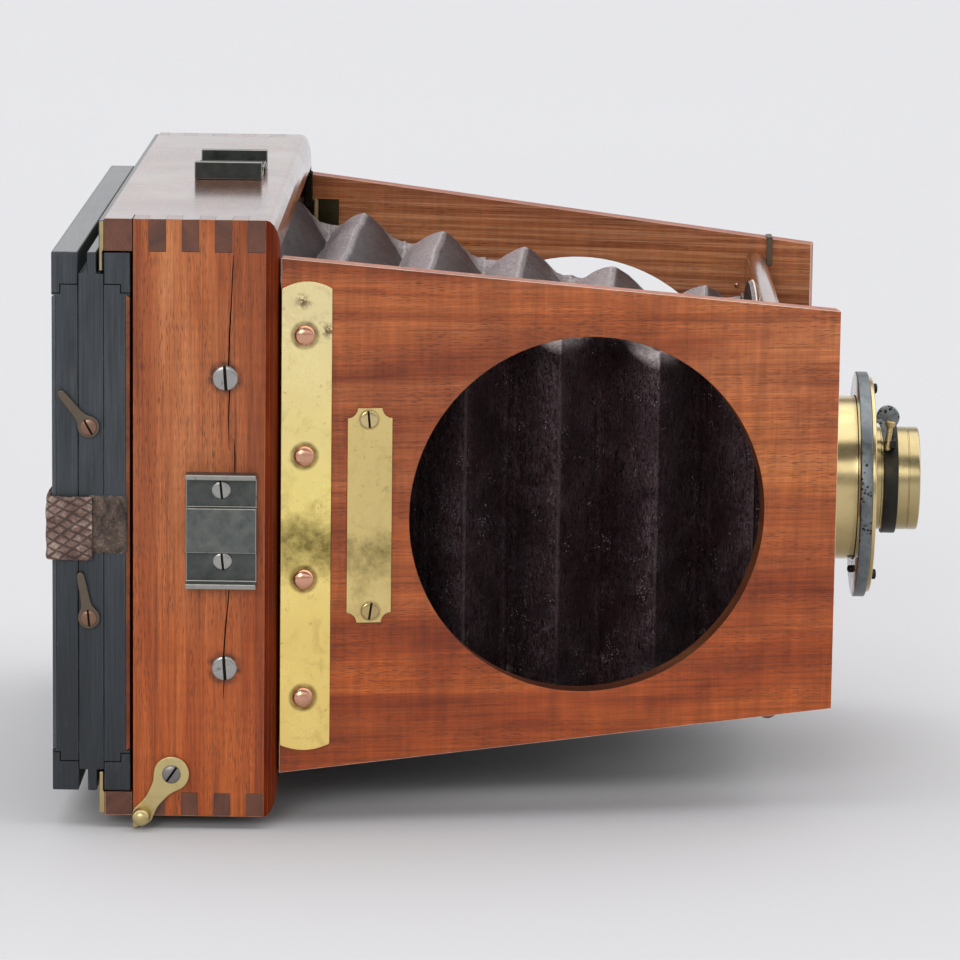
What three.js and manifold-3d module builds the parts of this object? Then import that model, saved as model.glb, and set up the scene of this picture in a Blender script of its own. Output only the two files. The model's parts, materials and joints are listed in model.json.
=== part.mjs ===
// A folding wooden view camera for 13 x 18 cm plates, with its double plate holder in place.
// Millimetres. +X points out of the lens, +Y to the far side, +Z up.
// The origin is the tripod bush, at the middle of the box's underside.
import * as THREE from 'three';
import { mergeVertices } from 'three/addons/utils/BufferGeometryUtils.js';
import Module from 'manifold-3d';

const wasm = await Module();
wasm.setup();

// ---- driving dimensions ----
const BOX_WIDTH = 222.2;
const BOX_HEIGHT = 180;
const BOX_REAR = -25.65;
const NOSE_START = 21.85;
const NOSE_END = 25.65;
const NOSE_INSET = 9;
const SIDE_THICK = 9;
const TOP_THICK = 9.6;
const BOTTOM_THICK = 7.2;
const BAY_FRONT = -17.2;
const FIRST_FINGER = -12.6;
const FINGER_PITCH = 9.72;
const FINGER_WIDTH = 5.05;
const JOINT_GAP = 0.06;
const BUSH_R = 20;
const BUSH_HOLE_R = 4.76;
const BUSH_THICK = 3;
const PLATE_WIDTH = 180;
const PLATE_HEIGHT = 130;
const CENTRE_Z = 89.3;

const CHEEK_REAR = 26.15;
const CHEEK_FRONT = 193;
const CHEEK_THICK = 7;
const CHEEK_TOE = THREE.MathUtils.degToRad(9.469);
const CHEEK_OUTER_Y = 105.57;
const CHEEK_REAR_Z = [11.7, 168.9];
const CHEEK_FRONT_Z = [28.2, 150.4];
const WINDOW_X = 117.7;
const WINDOW_Z = 89.5;
const WINDOW_R = 54.1;
const HINGE_X = 27.2;
const HINGE_Y = 96.8;

const HOLDER_NEAR = -110.7;
const HOLDER_FAR = 100.5;
const HOLDER_Z = [7.4, 169.9];
const REAR_LEAF_X = [-41.35, -33.5];
const CORE_X = [-33.4, -25.95];
const FRONT_LEAF_X = [-25.85, -18.1];
const SHUTTER_Z = [20.4, 156.6];

const LENS_Z = 85.7;
const BOARD_X = [170.5, 177];
const BOARD_HALF_WIDTH = 72.9;
const BOARD_Z = [23.7, 147.7];
const BOARD_HOLE_R = 24.6;
const TUBE_INNER_R = 24.3;
const TUBE_R = 25.9;
const FOOT_R = 31;
const DISC_X = [203.1, 206.9];
const DISC_Z = 83.55;
const DISC_R = 35.75;
const FLANGE_R = 34.2;
const BARREL_R = 16.3;
const BARREL_BORE = 14.4;
const BARREL_X = [190, 223.2];

// ---- materials ----
const material = (color, roughness, metalness = 0, opacity = 1) =>
  new THREE.MeshStandardMaterial({ color, roughness, metalness, opacity, transparent: opacity < 1 });
const mahogany = () => material(0xa5552d, 0.35);
const blackWood = () => material(0x2d343a, 0.5);
const brass = () => material(0xd7c36e, 0.3, 1);
const copper = () => material(0xbe6e50, 0.3, 1);
const steel = () => material(0x8d9396, 0.4, 1);
const gunmetal = () => material(0x555a5a, 0.45, 1);
const leather = () => material(0x322a2e, 0.6);
const brownLeather = () => material(0x5a463c, 0.7);
const glass = () => material(0xdfe8e6, 0.05, 0, 0.35);

// ---- solids ----
// A closed three.js geometry as a manifold solid.
function solid(geometry) {
  const plain = geometry.index ? geometry.toNonIndexed() : geometry.clone();
  plain.deleteAttribute('normal');
  plain.deleteAttribute('uv');
  const merged = mergeVertices(plain, 1e-4);
  return new wasm.Manifold(new wasm.Mesh({
    numProp: 3,
    vertProperties: new Float32Array(merged.attributes.position.array),
    triVerts: new Uint32Array(merged.index.array),
  }));
}

// The manifold solid's triangles as a three.js geometry.
function geometryOf(body) {
  const mesh = body.getMesh();
  const geometry = new THREE.BufferGeometry();
  geometry.setAttribute('position', new THREE.BufferAttribute(new Float32Array(mesh.vertProperties), 3));
  geometry.setIndex(new THREE.BufferAttribute(new Uint32Array(mesh.triVerts), 1));
  return geometry;
}

const block = ([x0, x1], [y0, y1], [z0, z1]) =>
  solid(new THREE.BoxGeometry(x1 - x0, y1 - y0, z1 - z0)
    .translate((x0 + x1) / 2, (y0 + y1) / 2, (z0 + z1) / 2));

const X = new THREE.Vector3(1, 0, 0);
const Y = new THREE.Vector3(0, 1, 0);
const Z = new THREE.Vector3(0, 0, 1);

const flat = (outline) => outline.map(([a, b]) => new THREE.Vector2(a, b));

// A flat outline pushed along one axis. outline holds points [a, b], or is a THREE.Shape.
function extrude(outline, depth, steps = 12) {
  const shape = outline instanceof THREE.Shape ? outline : new THREE.Shape(flat(outline));
  return new THREE.ExtrudeGeometry(shape, { depth, bevelEnabled: false, curveSegments: steps });
}
// (y, z) outline from x0 to x1
const alongX = (outline, x0, x1, steps) =>
  solid(extrude(outline, x1 - x0, steps)
    .applyMatrix4(new THREE.Matrix4().makeBasis(Y, Z, X)).translate(x0, 0, 0));
// (x, z) outline from y0 to y1
const alongY = (outline, y0, y1, steps) =>
  solid(extrude(outline, y1 - y0, steps)
    .applyMatrix4(new THREE.Matrix4().makeBasis(X, Z, Y.clone().negate())).translate(0, y1, 0));
// (x, y) outline from z0 to z1
const alongZ = (outline, z0, z1, steps) => solid(extrude(outline, z1 - z0, steps).translate(0, 0, z0));

// The outline, turned round if it runs clockwise.
const facing = (outline) =>
  (THREE.ShapeUtils.area(flat(outline)) < 0 ? outline.slice().reverse() : outline);

const rectangle = (a0, a1, b0, b1) => [[a0, b0], [a1, b0], [a1, b1], [a0, b1]];

// An outline with a hole in it.
function holed(outline, hole) {
  const shape = new THREE.Shape(flat(outline));
  shape.holes.push(new THREE.Path(flat(hole)));
  return shape;
}

function disc(a, b, radius) {
  const shape = new THREE.Shape();
  shape.absarc(a, b, radius, 0, Math.PI * 2);
  return shape;
}

// A profile of points [radius, height] turned about the Z axis.
const turned = (profile, segments) =>
  new THREE.LatheGeometry(profile.map(([r, h]) => new THREE.Vector2(r, h)), segments).rotateX(Math.PI / 2);

// A turned piece whose axis runs along direction, from the point at.
function turnedAt(profile, segments, at, direction) {
  const turn = new THREE.Quaternion().setFromUnitVectors(Z, direction.clone().normalize());
  return solid(turned(profile, segments).applyQuaternion(turn).translate(...at));
}
const rod = (radius, length) => [[0, 0], [radius, 0], [radius, length], [0, length]];
const ring = (inner, outer, from, to) =>
  [[inner, from], [outer, from], [outer, to], [inner, to], [inner, from]];

const camera = new THREE.Group();
function add(name, body, finish) {
  const geometry = body.isBufferGeometry ? body : geometryOf(body);
  const mesh = new THREE.Mesh(geometry, finish);
  mesh.name = name;
  camera.add(mesh);
}

// A near-side body, or its twin on the far side.
const onSide = (side, body) => (side < 0 ? body : body.mirror([0, 1, 0]));

// ---- the box: four finger-jointed boards with a rounded front edge ----
const HALF = BOX_WIDTH / 2;
const INNER_HALF = HALF - SIDE_THICK;
const INNER_Z = [BOTTOM_THICK, BOX_HEIGHT - TOP_THICK];

// The whole block's outer shape, whose front edge is a quarter ellipse all round.
function outerBlock() {
  const steps = 5;
  const sections = [[BOX_REAR, 0]];
  for (let i = 0; i <= steps; i += 1) {
    const angle = (i / steps) * Math.PI / 2;
    sections.push([
      NOSE_START + (NOSE_END - NOSE_START) * Math.sin(angle),
      NOSE_INSET * (1 - Math.cos(angle)),
    ]);
  }
  const points = [];
  for (const [x, inset] of sections) {
    const corners = rectangle(inset - HALF, HALF - inset, inset, BOX_HEIGHT - inset);
    for (const [y, z] of corners) points.push(x, y, z);
  }
  const faces = [0, 2, 1, 0, 3, 2];
  for (let s = 0; s < sections.length - 1; s += 1) {
    for (let k = 0; k < 4; k += 1) {
      const a = s * 4 + k;
      const b = s * 4 + (k + 1) % 4;
      faces.push(a, b, b + 4, a, b + 4, a + 4);
    }
  }
  const last = (sections.length - 1) * 4;
  faces.push(last, last + 1, last + 2, last, last + 2, last + 3);
  const geometry = new THREE.BufferGeometry();
  geometry.setAttribute('position', new THREE.Float32BufferAttribute(points, 3));
  geometry.setIndex(faces);
  return solid(geometry);
}

// The stretches of X in which the top and bottom boards reach the outside of a side board.
function fingers(side) {
  const spans = [];
  const first = side < 0 ? 0 : -1;
  for (let i = first; i < 4; i += 1) {
    const start = FIRST_FINGER + i * FINGER_PITCH;
    spans.push([start, start + FINGER_WIDTH]);
  }
  return spans;
}

// What the end boards own at one corner, grown by the joint's gap where grow is positive.
function cornerFingers(side, top, grow) {
  const y = side < 0 ? [-HALF - 1, -INNER_HALF + grow] : [INNER_HALF - grow, HALF + 1];
  const z = top ? [INNER_Z[1] - grow, BOX_HEIGHT + 1] : [-1, INNER_Z[0] + grow];
  return fingers(side).map(([x0, x1]) => block([x0 - grow, x1 + grow], y, z));
}

// The half of a corner past the last finger that belongs to an end board: the mitre.
// shift moves its slanted face towards the side board.
function mitre(side, top, shift) {
  const start = FIRST_FINGER + 3 * FINGER_PITCH + FINGER_WIDTH - 0.01;
  const up = top ? 1 : -1;
  const inner = [side * (INNER_HALF + shift), (top ? INNER_Z[1] : INNER_Z[0]) - up * shift];
  const reach = [side * (HALF + 1 + shift), (top ? BOX_HEIGHT + 1 : -1) - up * shift];
  const outline = [inner, reach, [reach[0], reach[1] + up * 2], [inner[0], reach[1] + up * 2]];
  return alongX(facing(outline), start, NOSE_END + 1);
}

const outer = outerBlock();
for (const [name, top] of [['top_board', true], ['bottom_board', false]]) {
  const z = top ? [INNER_Z[1] + JOINT_GAP, BOX_HEIGHT + 1] : [-1, INNER_Z[0] - JOINT_GAP];
  let board = outer.intersect(block([BOX_REAR - 1, NOSE_END + 1], [-INNER_HALF, INNER_HALF], z));
  for (const side of [-1, 1]) {
    const pieces = [...cornerFingers(side, top, 0), mitre(side, top, 0)];
    if (side < 0) pieces.push(block([BOX_REAR - 1, BAY_FRONT - 0.3], [-HALF - 1, -INNER_HALF + 0.01], z));
    const slab = outer.intersect(block([BOX_REAR, NOSE_END], [-HALF, HALF], z));
    for (const piece of pieces) board = board.add(piece.intersect(slab));
  }
  if (!top) {
    board = board.subtract(turnedAt(rod(BUSH_R + 0.2, BUSH_THICK + 0.3), 24, [0, 0, 0], Z));
    board = board.subtract(turnedAt(rod(BUSH_HOLE_R + 0.6, BOTTOM_THICK + 1), 12, [0, 0, 0], Z));
  }
  add(name, board, mahogany());
}
add('tripod_bush', turnedAt(ring(BUSH_HOLE_R, BUSH_R, 0, BUSH_THICK), 24, [0, 0, 0.05], Z), brass());

const SIDE_SCREW_X = 10;
const SIDE_SCREW_Z = [133, 45.5];
const SIDE_SCREW_R = 3.65;
const SIDE_SHANK_R = 1.5;
const SIDE_SCREW_LENGTH = 8;
// A countersunk screw's profile, or the room for it where grow is positive.
function screwProfile(grow) {
  const shank = SIDE_SHANK_R + grow;
  const head = SIDE_SCREW_R + grow;
  const end = -SIDE_SCREW_LENGTH - grow;
  return [[0, end], [shank, end], [shank, -2.6], [head, -0.3], [head, grow], [0, grow]];
}
const sideScrew = (z, grow) =>
  turnedAt(screwProfile(grow), 16, [SIDE_SCREW_X, -HALF - 0.1, z], Y.clone().negate());
for (const [name, side] of [['near_side_board', -1], ['far_side_board', 1]]) {
  const start = side < 0 ? BAY_FRONT : BOX_REAR - 1;
  const y = side < 0 ? [-HALF - 1, -INNER_HALF - JOINT_GAP] : [INNER_HALF + JOINT_GAP, HALF + 1];
  let board = outer.intersect(block([start, NOSE_END + 1], y, [-1, BOX_HEIGHT + 1]));
  for (const top of [true, false]) {
    for (const piece of cornerFingers(side, top, JOINT_GAP)) board = board.subtract(piece);
    board = board.subtract(mitre(side, top, JOINT_GAP));
  }
  if (side < 0) {
    for (const z of SIDE_SCREW_Z) board = board.subtract(sideScrew(z, 0.12));
  }
  add(name, board, mahogany());
}
add('upper_side_screw', sideScrew(SIDE_SCREW_Z[0], 0), steel());
add('lower_side_screw', sideScrew(SIDE_SCREW_Z[1], 0), steel());

// The frame that the holder closes against and the bellows is glued to.
const FRAME_X = [-17, -12];
const FRAME_FIT = 0.2;
const IMAGE_HALF_WIDTH = PLATE_WIDTH / 2 - 2;
const IMAGE_Z = [CENTRE_Z - PLATE_HEIGHT / 2 + 2, CENTRE_Z + PLATE_HEIGHT / 2 - 2];
add('bellows_rear_frame', alongX(holed(
  rectangle(-INNER_HALF + FRAME_FIT, INNER_HALF - FRAME_FIT, INNER_Z[0] + FRAME_FIT, INNER_Z[1] - FRAME_FIT),
  rectangle(-IMAGE_HALF_WIDTH, IMAGE_HALF_WIDTH, ...IMAGE_Z),
), ...FRAME_X), mahogany());

// Brass lips on the box's rear edges: the holder's grooves slide on them.
// Each is a flange fixed on the board and a thinner tongue that stands in the groove.
const LIP_X = [-27.3, -25.7];
const LIP_TONGUE_X = -26.2;
const LIP_EDGE = 0.6;
const LIP_REACH = 6;
// outerZ is the flange's outer edge and rootZ the board's inner face; up is 1 at the top, -1 below.
function lip(outerZ, rootZ, up) {
  const tongueZ = rootZ - up * LIP_REACH;
  return alongY(facing([[LIP_X[0], outerZ], [LIP_X[1], outerZ], [LIP_X[1], rootZ + up * 0.3],
    [LIP_TONGUE_X, rootZ - up * 0.3], [LIP_TONGUE_X, tongueZ], [LIP_X[0], tongueZ]]), -HALF, HALF);
}
add('upper_holder_lip', lip(BOX_HEIGHT - LIP_EDGE, INNER_Z[1], 1), brass());
add('lower_holder_lip', lip(LIP_EDGE, INNER_Z[0], -1), brass());

// ---- shoes that a viewfinder slides on ----
// Across the shoe from -17.2 to 17.2, and up from the wood: two lips, two flanges, a raised middle.
const shoeProfile = [[-17.2, 0.1], [-5.5, 0.1], [-5.5, 1.9], [5.5, 1.9], [5.5, 0.1], [17.2, 0.1], [17.2, 5.6],
  [15.6, 5.6], [15.6, 1.3], [6.8, 1.3], [6.8, 3.2], [-6.8, 3.2], [-6.8, 1.3], [-15.6, 1.3], [-15.6, 5.6],
  [-17.2, 5.6]];
const SHOE_LENGTH = 21;
const TOP_SHOE_REAR = -5.6;
const TOP_SHOE_Y = 1.6;
const SIDE_SHOE_REAR = -1.5;
const SIDE_SHOE_Z = 87.7;
const topShoe = shoeProfile.map(([a, h]) => [a + TOP_SHOE_Y, BOX_HEIGHT + h]);
const sideShoe = shoeProfile.map(([a, h]) => [-HALF - h, SIDE_SHOE_Z + a]);
add('top_shoe', alongX(topShoe, TOP_SHOE_REAR, TOP_SHOE_REAR + SHOE_LENGTH), gunmetal());
add('side_shoe', alongX(sideShoe, SIDE_SHOE_REAR, SIDE_SHOE_REAR + SHOE_LENGTH), gunmetal());

// ---- the holder's locking lever ----
const LEVER_PIVOT = [-5.66, 13.16];
const LEVER_KNOB = [-14.5, 0.5];
const LEVER_TIP = [-17, -3.4];
const LEVER_EYE_R = 5.3;
const LEVER_SHANK_R = 1.5;
function lever() {
  const [px, pz] = LEVER_PIVOT;
  const along = new THREE.Vector2(LEVER_TIP[0] - px, LEVER_TIP[1] - pz).normalize();
  const at = ([distance, offset]) =>
    [px + along.x * distance - along.y * offset, pz + along.y * distance + along.x * offset];
  const arm = [[3, 4.2], [7, 3.1], [11, 2.4], [13, 2.6], [16.5, 3.1], [18, 1.4], [20, 0.2],
    [20, -0.2], [18, -1.4], [16.5, -3.1], [13, -2.6], [11, -2.4], [7, -3.1], [3, -4.2]];
  const y0 = -HALF - 1.7;
  const y1 = -HALF - 0.3;
  const knob = turnedAt([[0, 0], [1.9, 0], [2.8, 1.6], [2.4, 3.4], [0, 4.3]], 14,
    [LEVER_KNOB[0], y0 + 0.4, LEVER_KNOB[1]], Y.clone().negate());
  const screwHole = turnedAt(rod(LEVER_SHANK_R + 0.1, 6), 12, [px, y1 + 2, pz], Y.clone().negate());
  return alongY(disc(px, pz, LEVER_EYE_R), y0, y1).add(alongY(arm.map(at).reverse(), y0, y1))
    .add(knob).subtract(screwHole);
}
add('holder_lever', lever(), brass());
// A domed screw whose shank passes through a thin moving piece down to the wood.
const domedScrew = (at, radius, shank, through) =>
  turnedAt([[0, 0], [shank, 0], [shank, through], [radius, through], [radius, through + 0.5],
    [radius * 0.6, through + 1.1], [0, through + 1.3]], 14, at, Y.clone().negate());
const leverScrewFoot = [LEVER_PIVOT[0], -HALF - 0.1, LEVER_PIVOT[1]];
add('lever_screw', domedScrew(leverScrewFoot, 2.75, LEVER_SHANK_R, 1.7), steel());

// ---- cheeks: tapered side boards with round windows ----
const toe = Math.tan(CHEEK_TOE);
const outerY = (x) => CHEEK_OUTER_Y - (x - CHEEK_REAR) * toe;
const along = new THREE.Vector3(Math.cos(CHEEK_TOE), Math.sin(CHEEK_TOE), 0);
const outward = new THREE.Vector3(Math.sin(CHEEK_TOE), -Math.cos(CHEEK_TOE), 0);
// A point on the near cheek: distance forward along its outer face, height, and how far outside that face.
const onCheek = (x, z, out = 0) => [x + outward.x * out, -outerY(x) + outward.y * out, z];
// A flat outline (x, z) given in the near cheek's outer face, between two depths outside it.
function cheekPlate(outline, from, to, steps) {
  const basis = new THREE.Matrix4().makeBasis(along, Z, outward);
  const [ox, oy] = onCheek(CHEEK_REAR, 0, from);
  return solid(extrude(outline, to - from, steps).applyMatrix4(basis).translate(ox, oy, 0));
}
// The distance along the cheek from its rear edge to x.
const s = (x) => (x - CHEEK_REAR) / Math.cos(CHEEK_TOE);
const trim = block([CHEEK_REAR, CHEEK_FRONT + 10], [-BOX_WIDTH, BOX_WIDTH], [0, BOX_HEIGHT]);

function cheekPanel() {
  const rear = s(CHEEK_REAR - CHEEK_THICK);
  const panel = cheekPlate([[rear, CHEEK_REAR_Z[0]], [s(CHEEK_FRONT), CHEEK_FRONT_Z[0]],
    [s(CHEEK_FRONT), CHEEK_FRONT_Z[1]], [rear, CHEEK_REAR_Z[1]]], -CHEEK_THICK, 0);
  const window = cheekPlate(disc(s(WINDOW_X), WINDOW_Z, WINDOW_R), -CHEEK_THICK - 1, 1, 48);
  return panel.subtract(window).intersect(trim);
}
const STRIP_FRONT = 41;
const STRIP_Z = [21.2, 159];
const STRIP_ARCH = 2.3;
function archedStrip(x0, x1, [z0, z1]) {
  const [a0, a1] = [s(x0), s(x1)];
  const outline = [];
  const steps = 6;
  for (let i = 0; i <= steps; i += 1) {
    const t = i / steps;
    outline.push([a0 + (a1 - a0) * t, z0 - STRIP_ARCH * Math.sin(Math.PI * t)]);
  }
  for (let i = steps; i >= 0; i -= 1) {
    const t = i / steps;
    outline.push([a0 + (a1 - a0) * t, z1 + STRIP_ARCH * Math.sin(Math.PI * t)]);
  }
  return outline;
}
const RIVET_X = 33;
const RIVET_Z = [145.2, 109, 71.7, 35.6];
const rivetHole = (z, radius) => turnedAt(rod(radius, 14), 8, onCheek(RIVET_X, z, -11), outward);
const drilled = (body) => RIVET_Z.reduce((left, z) => left.subtract(rivetHole(z, 1.6)), body);
const outerStrip = () =>
  cheekPlate(archedStrip(CHEEK_REAR - 2, STRIP_FRONT, STRIP_Z), 0.1, 0.95).intersect(trim);
const rivet = (z) => turnedAt([[0, -8.5], [2, -8.5], [2.2, -8.1], [1.4, -8.1], [1.4, 1], [3.2, 1],
  [2.9, 1.8], [1.8, 2.4], [0, 2.6]], 12, onCheek(RIVET_X, z), outward);

// One hinge: the fixed leaf with its knuckles and pin, and the cheek's leaf between them.
const KNUCKLES = 5;
const KNUCKLE_R = 1.35;
const PIN_R = 0.75;
const HINGE_Z = [20, 160];
const FIXED_LEAF_X = [8, 24.6];
const MOVING_LEAF_X = [28.6, 36.4];
const MOVING_ARM_X = 29.2;
const knuckleSpan = (i) => {
  const step = (HINGE_Z[1] - HINGE_Z[0]) / KNUCKLES;
  return [HINGE_Z[0] + i * step + 0.2, HINGE_Z[0] + (i + 1) * step - 0.2];
};
function fixedLeaf() {
  const y = INNER_HALF - 0.2;
  let leaf = alongZ(rectangle(...FIXED_LEAF_X, -y, -y + 1), ...HINGE_Z);
  leaf = leaf.add(turnedAt(rod(PIN_R, HINGE_Z[1] - HINGE_Z[0]), 10, [HINGE_X, -HINGE_Y, HINGE_Z[0]], Z));
  for (let i = 0; i < KNUCKLES; i += 2) {
    const [z0, z1] = knuckleSpan(i);
    leaf = leaf.add(turnedAt(rod(KNUCKLE_R, z1 - z0), 12, [HINGE_X, -HINGE_Y, z0], Z));
    leaf = leaf.add(alongZ([[FIXED_LEAF_X[1] - 1, -y + 0.1], [FIXED_LEAF_X[1], -y + 0.1],
      [HINGE_X - 1.45, -HINGE_Y - 1.5], [HINGE_X, -HINGE_Y - 0.7], [HINGE_X, -HINGE_Y + 0.6],
      [HINGE_X - 2, -HINGE_Y - 0.1]], z0, z1));
  }
  return leaf;
}
function movingLeaf() {
  let leaf = cheekPlate(rectangle(...MOVING_LEAF_X.map(s), ...HINGE_Z), -CHEEK_THICK - 1, -CHEEK_THICK - 0.1);
  for (let i = 1; i < KNUCKLES; i += 2) {
    const [z0, z1] = knuckleSpan(i);
    leaf = leaf.add(turnedAt(rod(KNUCKLE_R, z1 - z0), 12, [HINGE_X, -HINGE_Y, z0], Z));
    leaf = leaf.add(alongZ([[HINGE_X, -HINGE_Y - 1.1], [MOVING_ARM_X, -HINGE_Y - 0.9],
      [MOVING_ARM_X, -HINGE_Y + 0.1], [HINGE_X, -HINGE_Y - 0.1]], z0, z1));
  }
  return leaf.subtract(turnedAt(rod(PIN_R + 0.1, 200), 10, [HINGE_X, -HINGE_Y, 0], Z));
}
// The moving leaf, kept off the fixed knuckles and drilled for the rivets.
function finishedMovingLeaf() {
  let leaf = movingLeaf();
  for (let i = 0; i < KNUCKLES; i += 2) {
    const [z0, z1] = knuckleSpan(i);
    const room = turnedAt(rod(KNUCKLE_R + 0.25, z1 - z0 + 0.3), 12, [HINGE_X, -HINGE_Y, z0 - 0.15], Z);
    leaf = leaf.subtract(room);
  }
  return drilled(leaf);
}

for (const [name, side] of [['near', -1], ['far', 1]]) {
  const place = (part, body, finish) => add(`${name}_${part}`, onSide(side, body), finish);
  place('hinge', fixedLeaf(), brass());
  place('hinge_leaf', finishedMovingLeaf(), brass());
  place('cheek', drilled(cheekPanel()), mahogany());
  place('outer_strip', drilled(outerStrip()), brass());
  RIVET_Z.forEach((z, i) => place(`rivet_${i + 1}`, rivet(z), copper()));
}

// The blank nameplate, with notched corners.
const PLATE_X = [45.8, 59];
const PLATE_Z = [58.1, 123.1];
function nameplate() {
  const [a0, a1] = PLATE_X.map(s);
  const [z0, z1] = PLATE_Z;
  const notch = 3;
  const shape = new THREE.Shape();
  shape.moveTo(a0 + notch, z0);
  shape.lineTo(a1 - notch, z0);
  shape.absarc(a1, z0, notch, Math.PI, Math.PI / 2, true);
  shape.lineTo(a1, z1 - notch);
  shape.absarc(a1, z1, notch, -Math.PI / 2, Math.PI, true);
  shape.lineTo(a0 + notch, z1);
  shape.absarc(a0, z1, notch, 0, -Math.PI / 2, true);
  shape.lineTo(a0, z0 + notch);
  shape.absarc(a0, z0, notch, Math.PI / 2, 0, true);
  return cheekPlate(shape, 0.1, 0.9, 3);
}
add('nameplate', nameplate(), brass());

// A steel catch over the far cheek's top edge, in front of the lens board.
const CATCH_X = [177.3, 179.2];
const CATCH_DROP = 9;
function boardCatch() {
  const forward = (CATCH_X[0] - CHEEK_REAR) / (CHEEK_FRONT - CHEEK_REAR);
  const edge = THREE.MathUtils.lerp(CHEEK_REAR_Z[1], CHEEK_FRONT_Z[1], forward);
  const inner = outerY(CATCH_X[1]) - CHEEK_THICK / Math.cos(CHEEK_TOE) - 0.3;
  return block(CATCH_X, [inner - 0.9, inner], [edge - CATCH_DROP, edge + 1.1])
    .add(block(CATCH_X, [inner - 0.5, outerY(CATCH_X[1]) - 0.2], [edge + 0.3, edge + 1.1]));
}
add('board_catch', boardCatch(), steel());

// ---- the double plate holder ----
const holderY = [HOLDER_NEAR, HOLDER_FAR];
const GROOVE_DEPTH = 6.4;
const TOOTH_X = [-30.8, -28.1];
// The core: a frame round the plates, grooved along its top and bottom on both sides of a tooth.
function holderCore() {
  const [z0, z1] = HOLDER_Z;
  let core = block(CORE_X, holderY, HOLDER_Z);
  for (const x of [[CORE_X[0] - 1, TOOTH_X[0]], [TOOTH_X[1], CORE_X[1] + 1]]) {
    core = core.subtract(block(x, [-BOX_WIDTH, BOX_WIDTH], [z1 - GROOVE_DEPTH, z1 + 1]));
    core = core.subtract(block(x, [-BOX_WIDTH, BOX_WIDTH], [z0 - 1, z0 + GROOVE_DEPTH]));
  }
  return core.subtract(block([CORE_X[0] - 1, CORE_X[1] + 1], [-PLATE_WIDTH / 2, PLATE_WIDTH / 2],
    [CENTRE_Z - PLATE_HEIGHT / 2, CENTRE_Z + PLATE_HEIGHT / 2]));
}
add('holder_core', holderCore(), blackWood());
const PLATE_FIT = 0.4;
const plateZ = [CENTRE_Z - PLATE_HEIGHT / 2 + PLATE_FIT, CENTRE_Z + PLATE_HEIGHT / 2 - PLATE_FIT];
const plateY = [-PLATE_WIDTH / 2 + PLATE_FIT, PLATE_WIDTH / 2 - PLATE_FIT];
add('septum', block([-30, -29.2], plateY, plateZ), gunmetal());
add('front_plate', block([-28.9, -27.4], plateY, plateZ), glass());
add('rear_plate', block([-31.9, -30.4], plateY, plateZ), glass());

// A leaf is a frame with a dovetailed track, open at the near end, for its shutter.
const SHUTTER_FAR = 92;
const SHUTTER_THICK = 1.2;
const DOVETAIL = 0.8;
// The shutter's section at the leaf's face, wider inside the leaf; inward is the way into the leaf.
const track = (face, inward, grow) => {
  const [z0, z1] = SHUTTER_Z;
  const inside = face + inward * (SHUTTER_THICK + grow);
  const open = face - inward * grow * 2;
  return facing([[inside, z0 - DOVETAIL - grow], [inside, z1 + DOVETAIL + grow], [open, z1 + grow],
    [open, z0 - grow]]);
};
function leaf(x, face, inward) {
  const slot = alongY(track(face, inward, 0.15), -BOX_WIDTH, SHUTTER_FAR + 0.3);
  const opening = block([x[0] - 1, x[1] + 1], [-IMAGE_HALF_WIDTH, IMAGE_HALF_WIDTH], IMAGE_Z);
  return block(x, holderY, HOLDER_Z).subtract(slot).subtract(opening);
}
const shutter = (face, inward) => alongY(track(face, inward, 0), HOLDER_NEAR, SHUTTER_FAR);
add('front_leaf', leaf(FRONT_LEAF_X, FRONT_LEAF_X[1], -1), blackWood());
add('rear_leaf', leaf(REAR_LEAF_X, REAR_LEAF_X[0], 1), blackWood());
add('front_shutter', shutter(FRONT_LEAF_X[1] - 0.1, -1), blackWood());
add('rear_shutter', shutter(REAR_LEAF_X[0] + 0.1, 1), blackWood());

// Leather pull tabs on the shutters' near ends: the rear one is folded round the holder's rear edge.
const TAB_Y = [-113.4, -111.3];
const FRONT_TAB_X = [-28.7, -17.2];
const FRONT_TAB_Z = [79.5, 96.8];
const REAR_TAB_X = [-43.2, -29];
const REAR_TAB_Z = [78, 97];
const REAR_TAB_LEG_X = -41.6;
const REAR_TAB_FAR = -96;
add('front_tab', block(FRONT_TAB_X, TAB_Y, FRONT_TAB_Z)
  .add(block([-19.1, -18.3], [TAB_Y[1] - 0.1, HOLDER_NEAR - 0.15], FRONT_TAB_Z)), brownLeather());
add('rear_tab', block(REAR_TAB_X, TAB_Y, REAR_TAB_Z)
  .add(block([REAR_TAB_X[0], REAR_TAB_LEG_X], [TAB_Y[1] - 0.1, REAR_TAB_FAR], REAR_TAB_Z)), brownLeather());

// The knuckle at the holder's far end on which its rear leaf opens like a book.
const BOOK_HINGE = [-33.45, HOLDER_FAR + 1.9];
const BOOK_HINGE_R = 1.6;
const BOOK_HINGE_Z = [14, 164];
add('leaf_hinge', turnedAt(rod(BOOK_HINGE_R, BOOK_HINGE_Z[1] - BOOK_HINGE_Z[0]), 12,
  [...BOOK_HINGE, BOOK_HINGE_Z[0]], Z)
  .add(block([BOOK_HINGE[0], -27], [HOLDER_FAR + 0.1, HOLDER_FAR + 1.2], BOOK_HINGE_Z)), brass());

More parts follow.
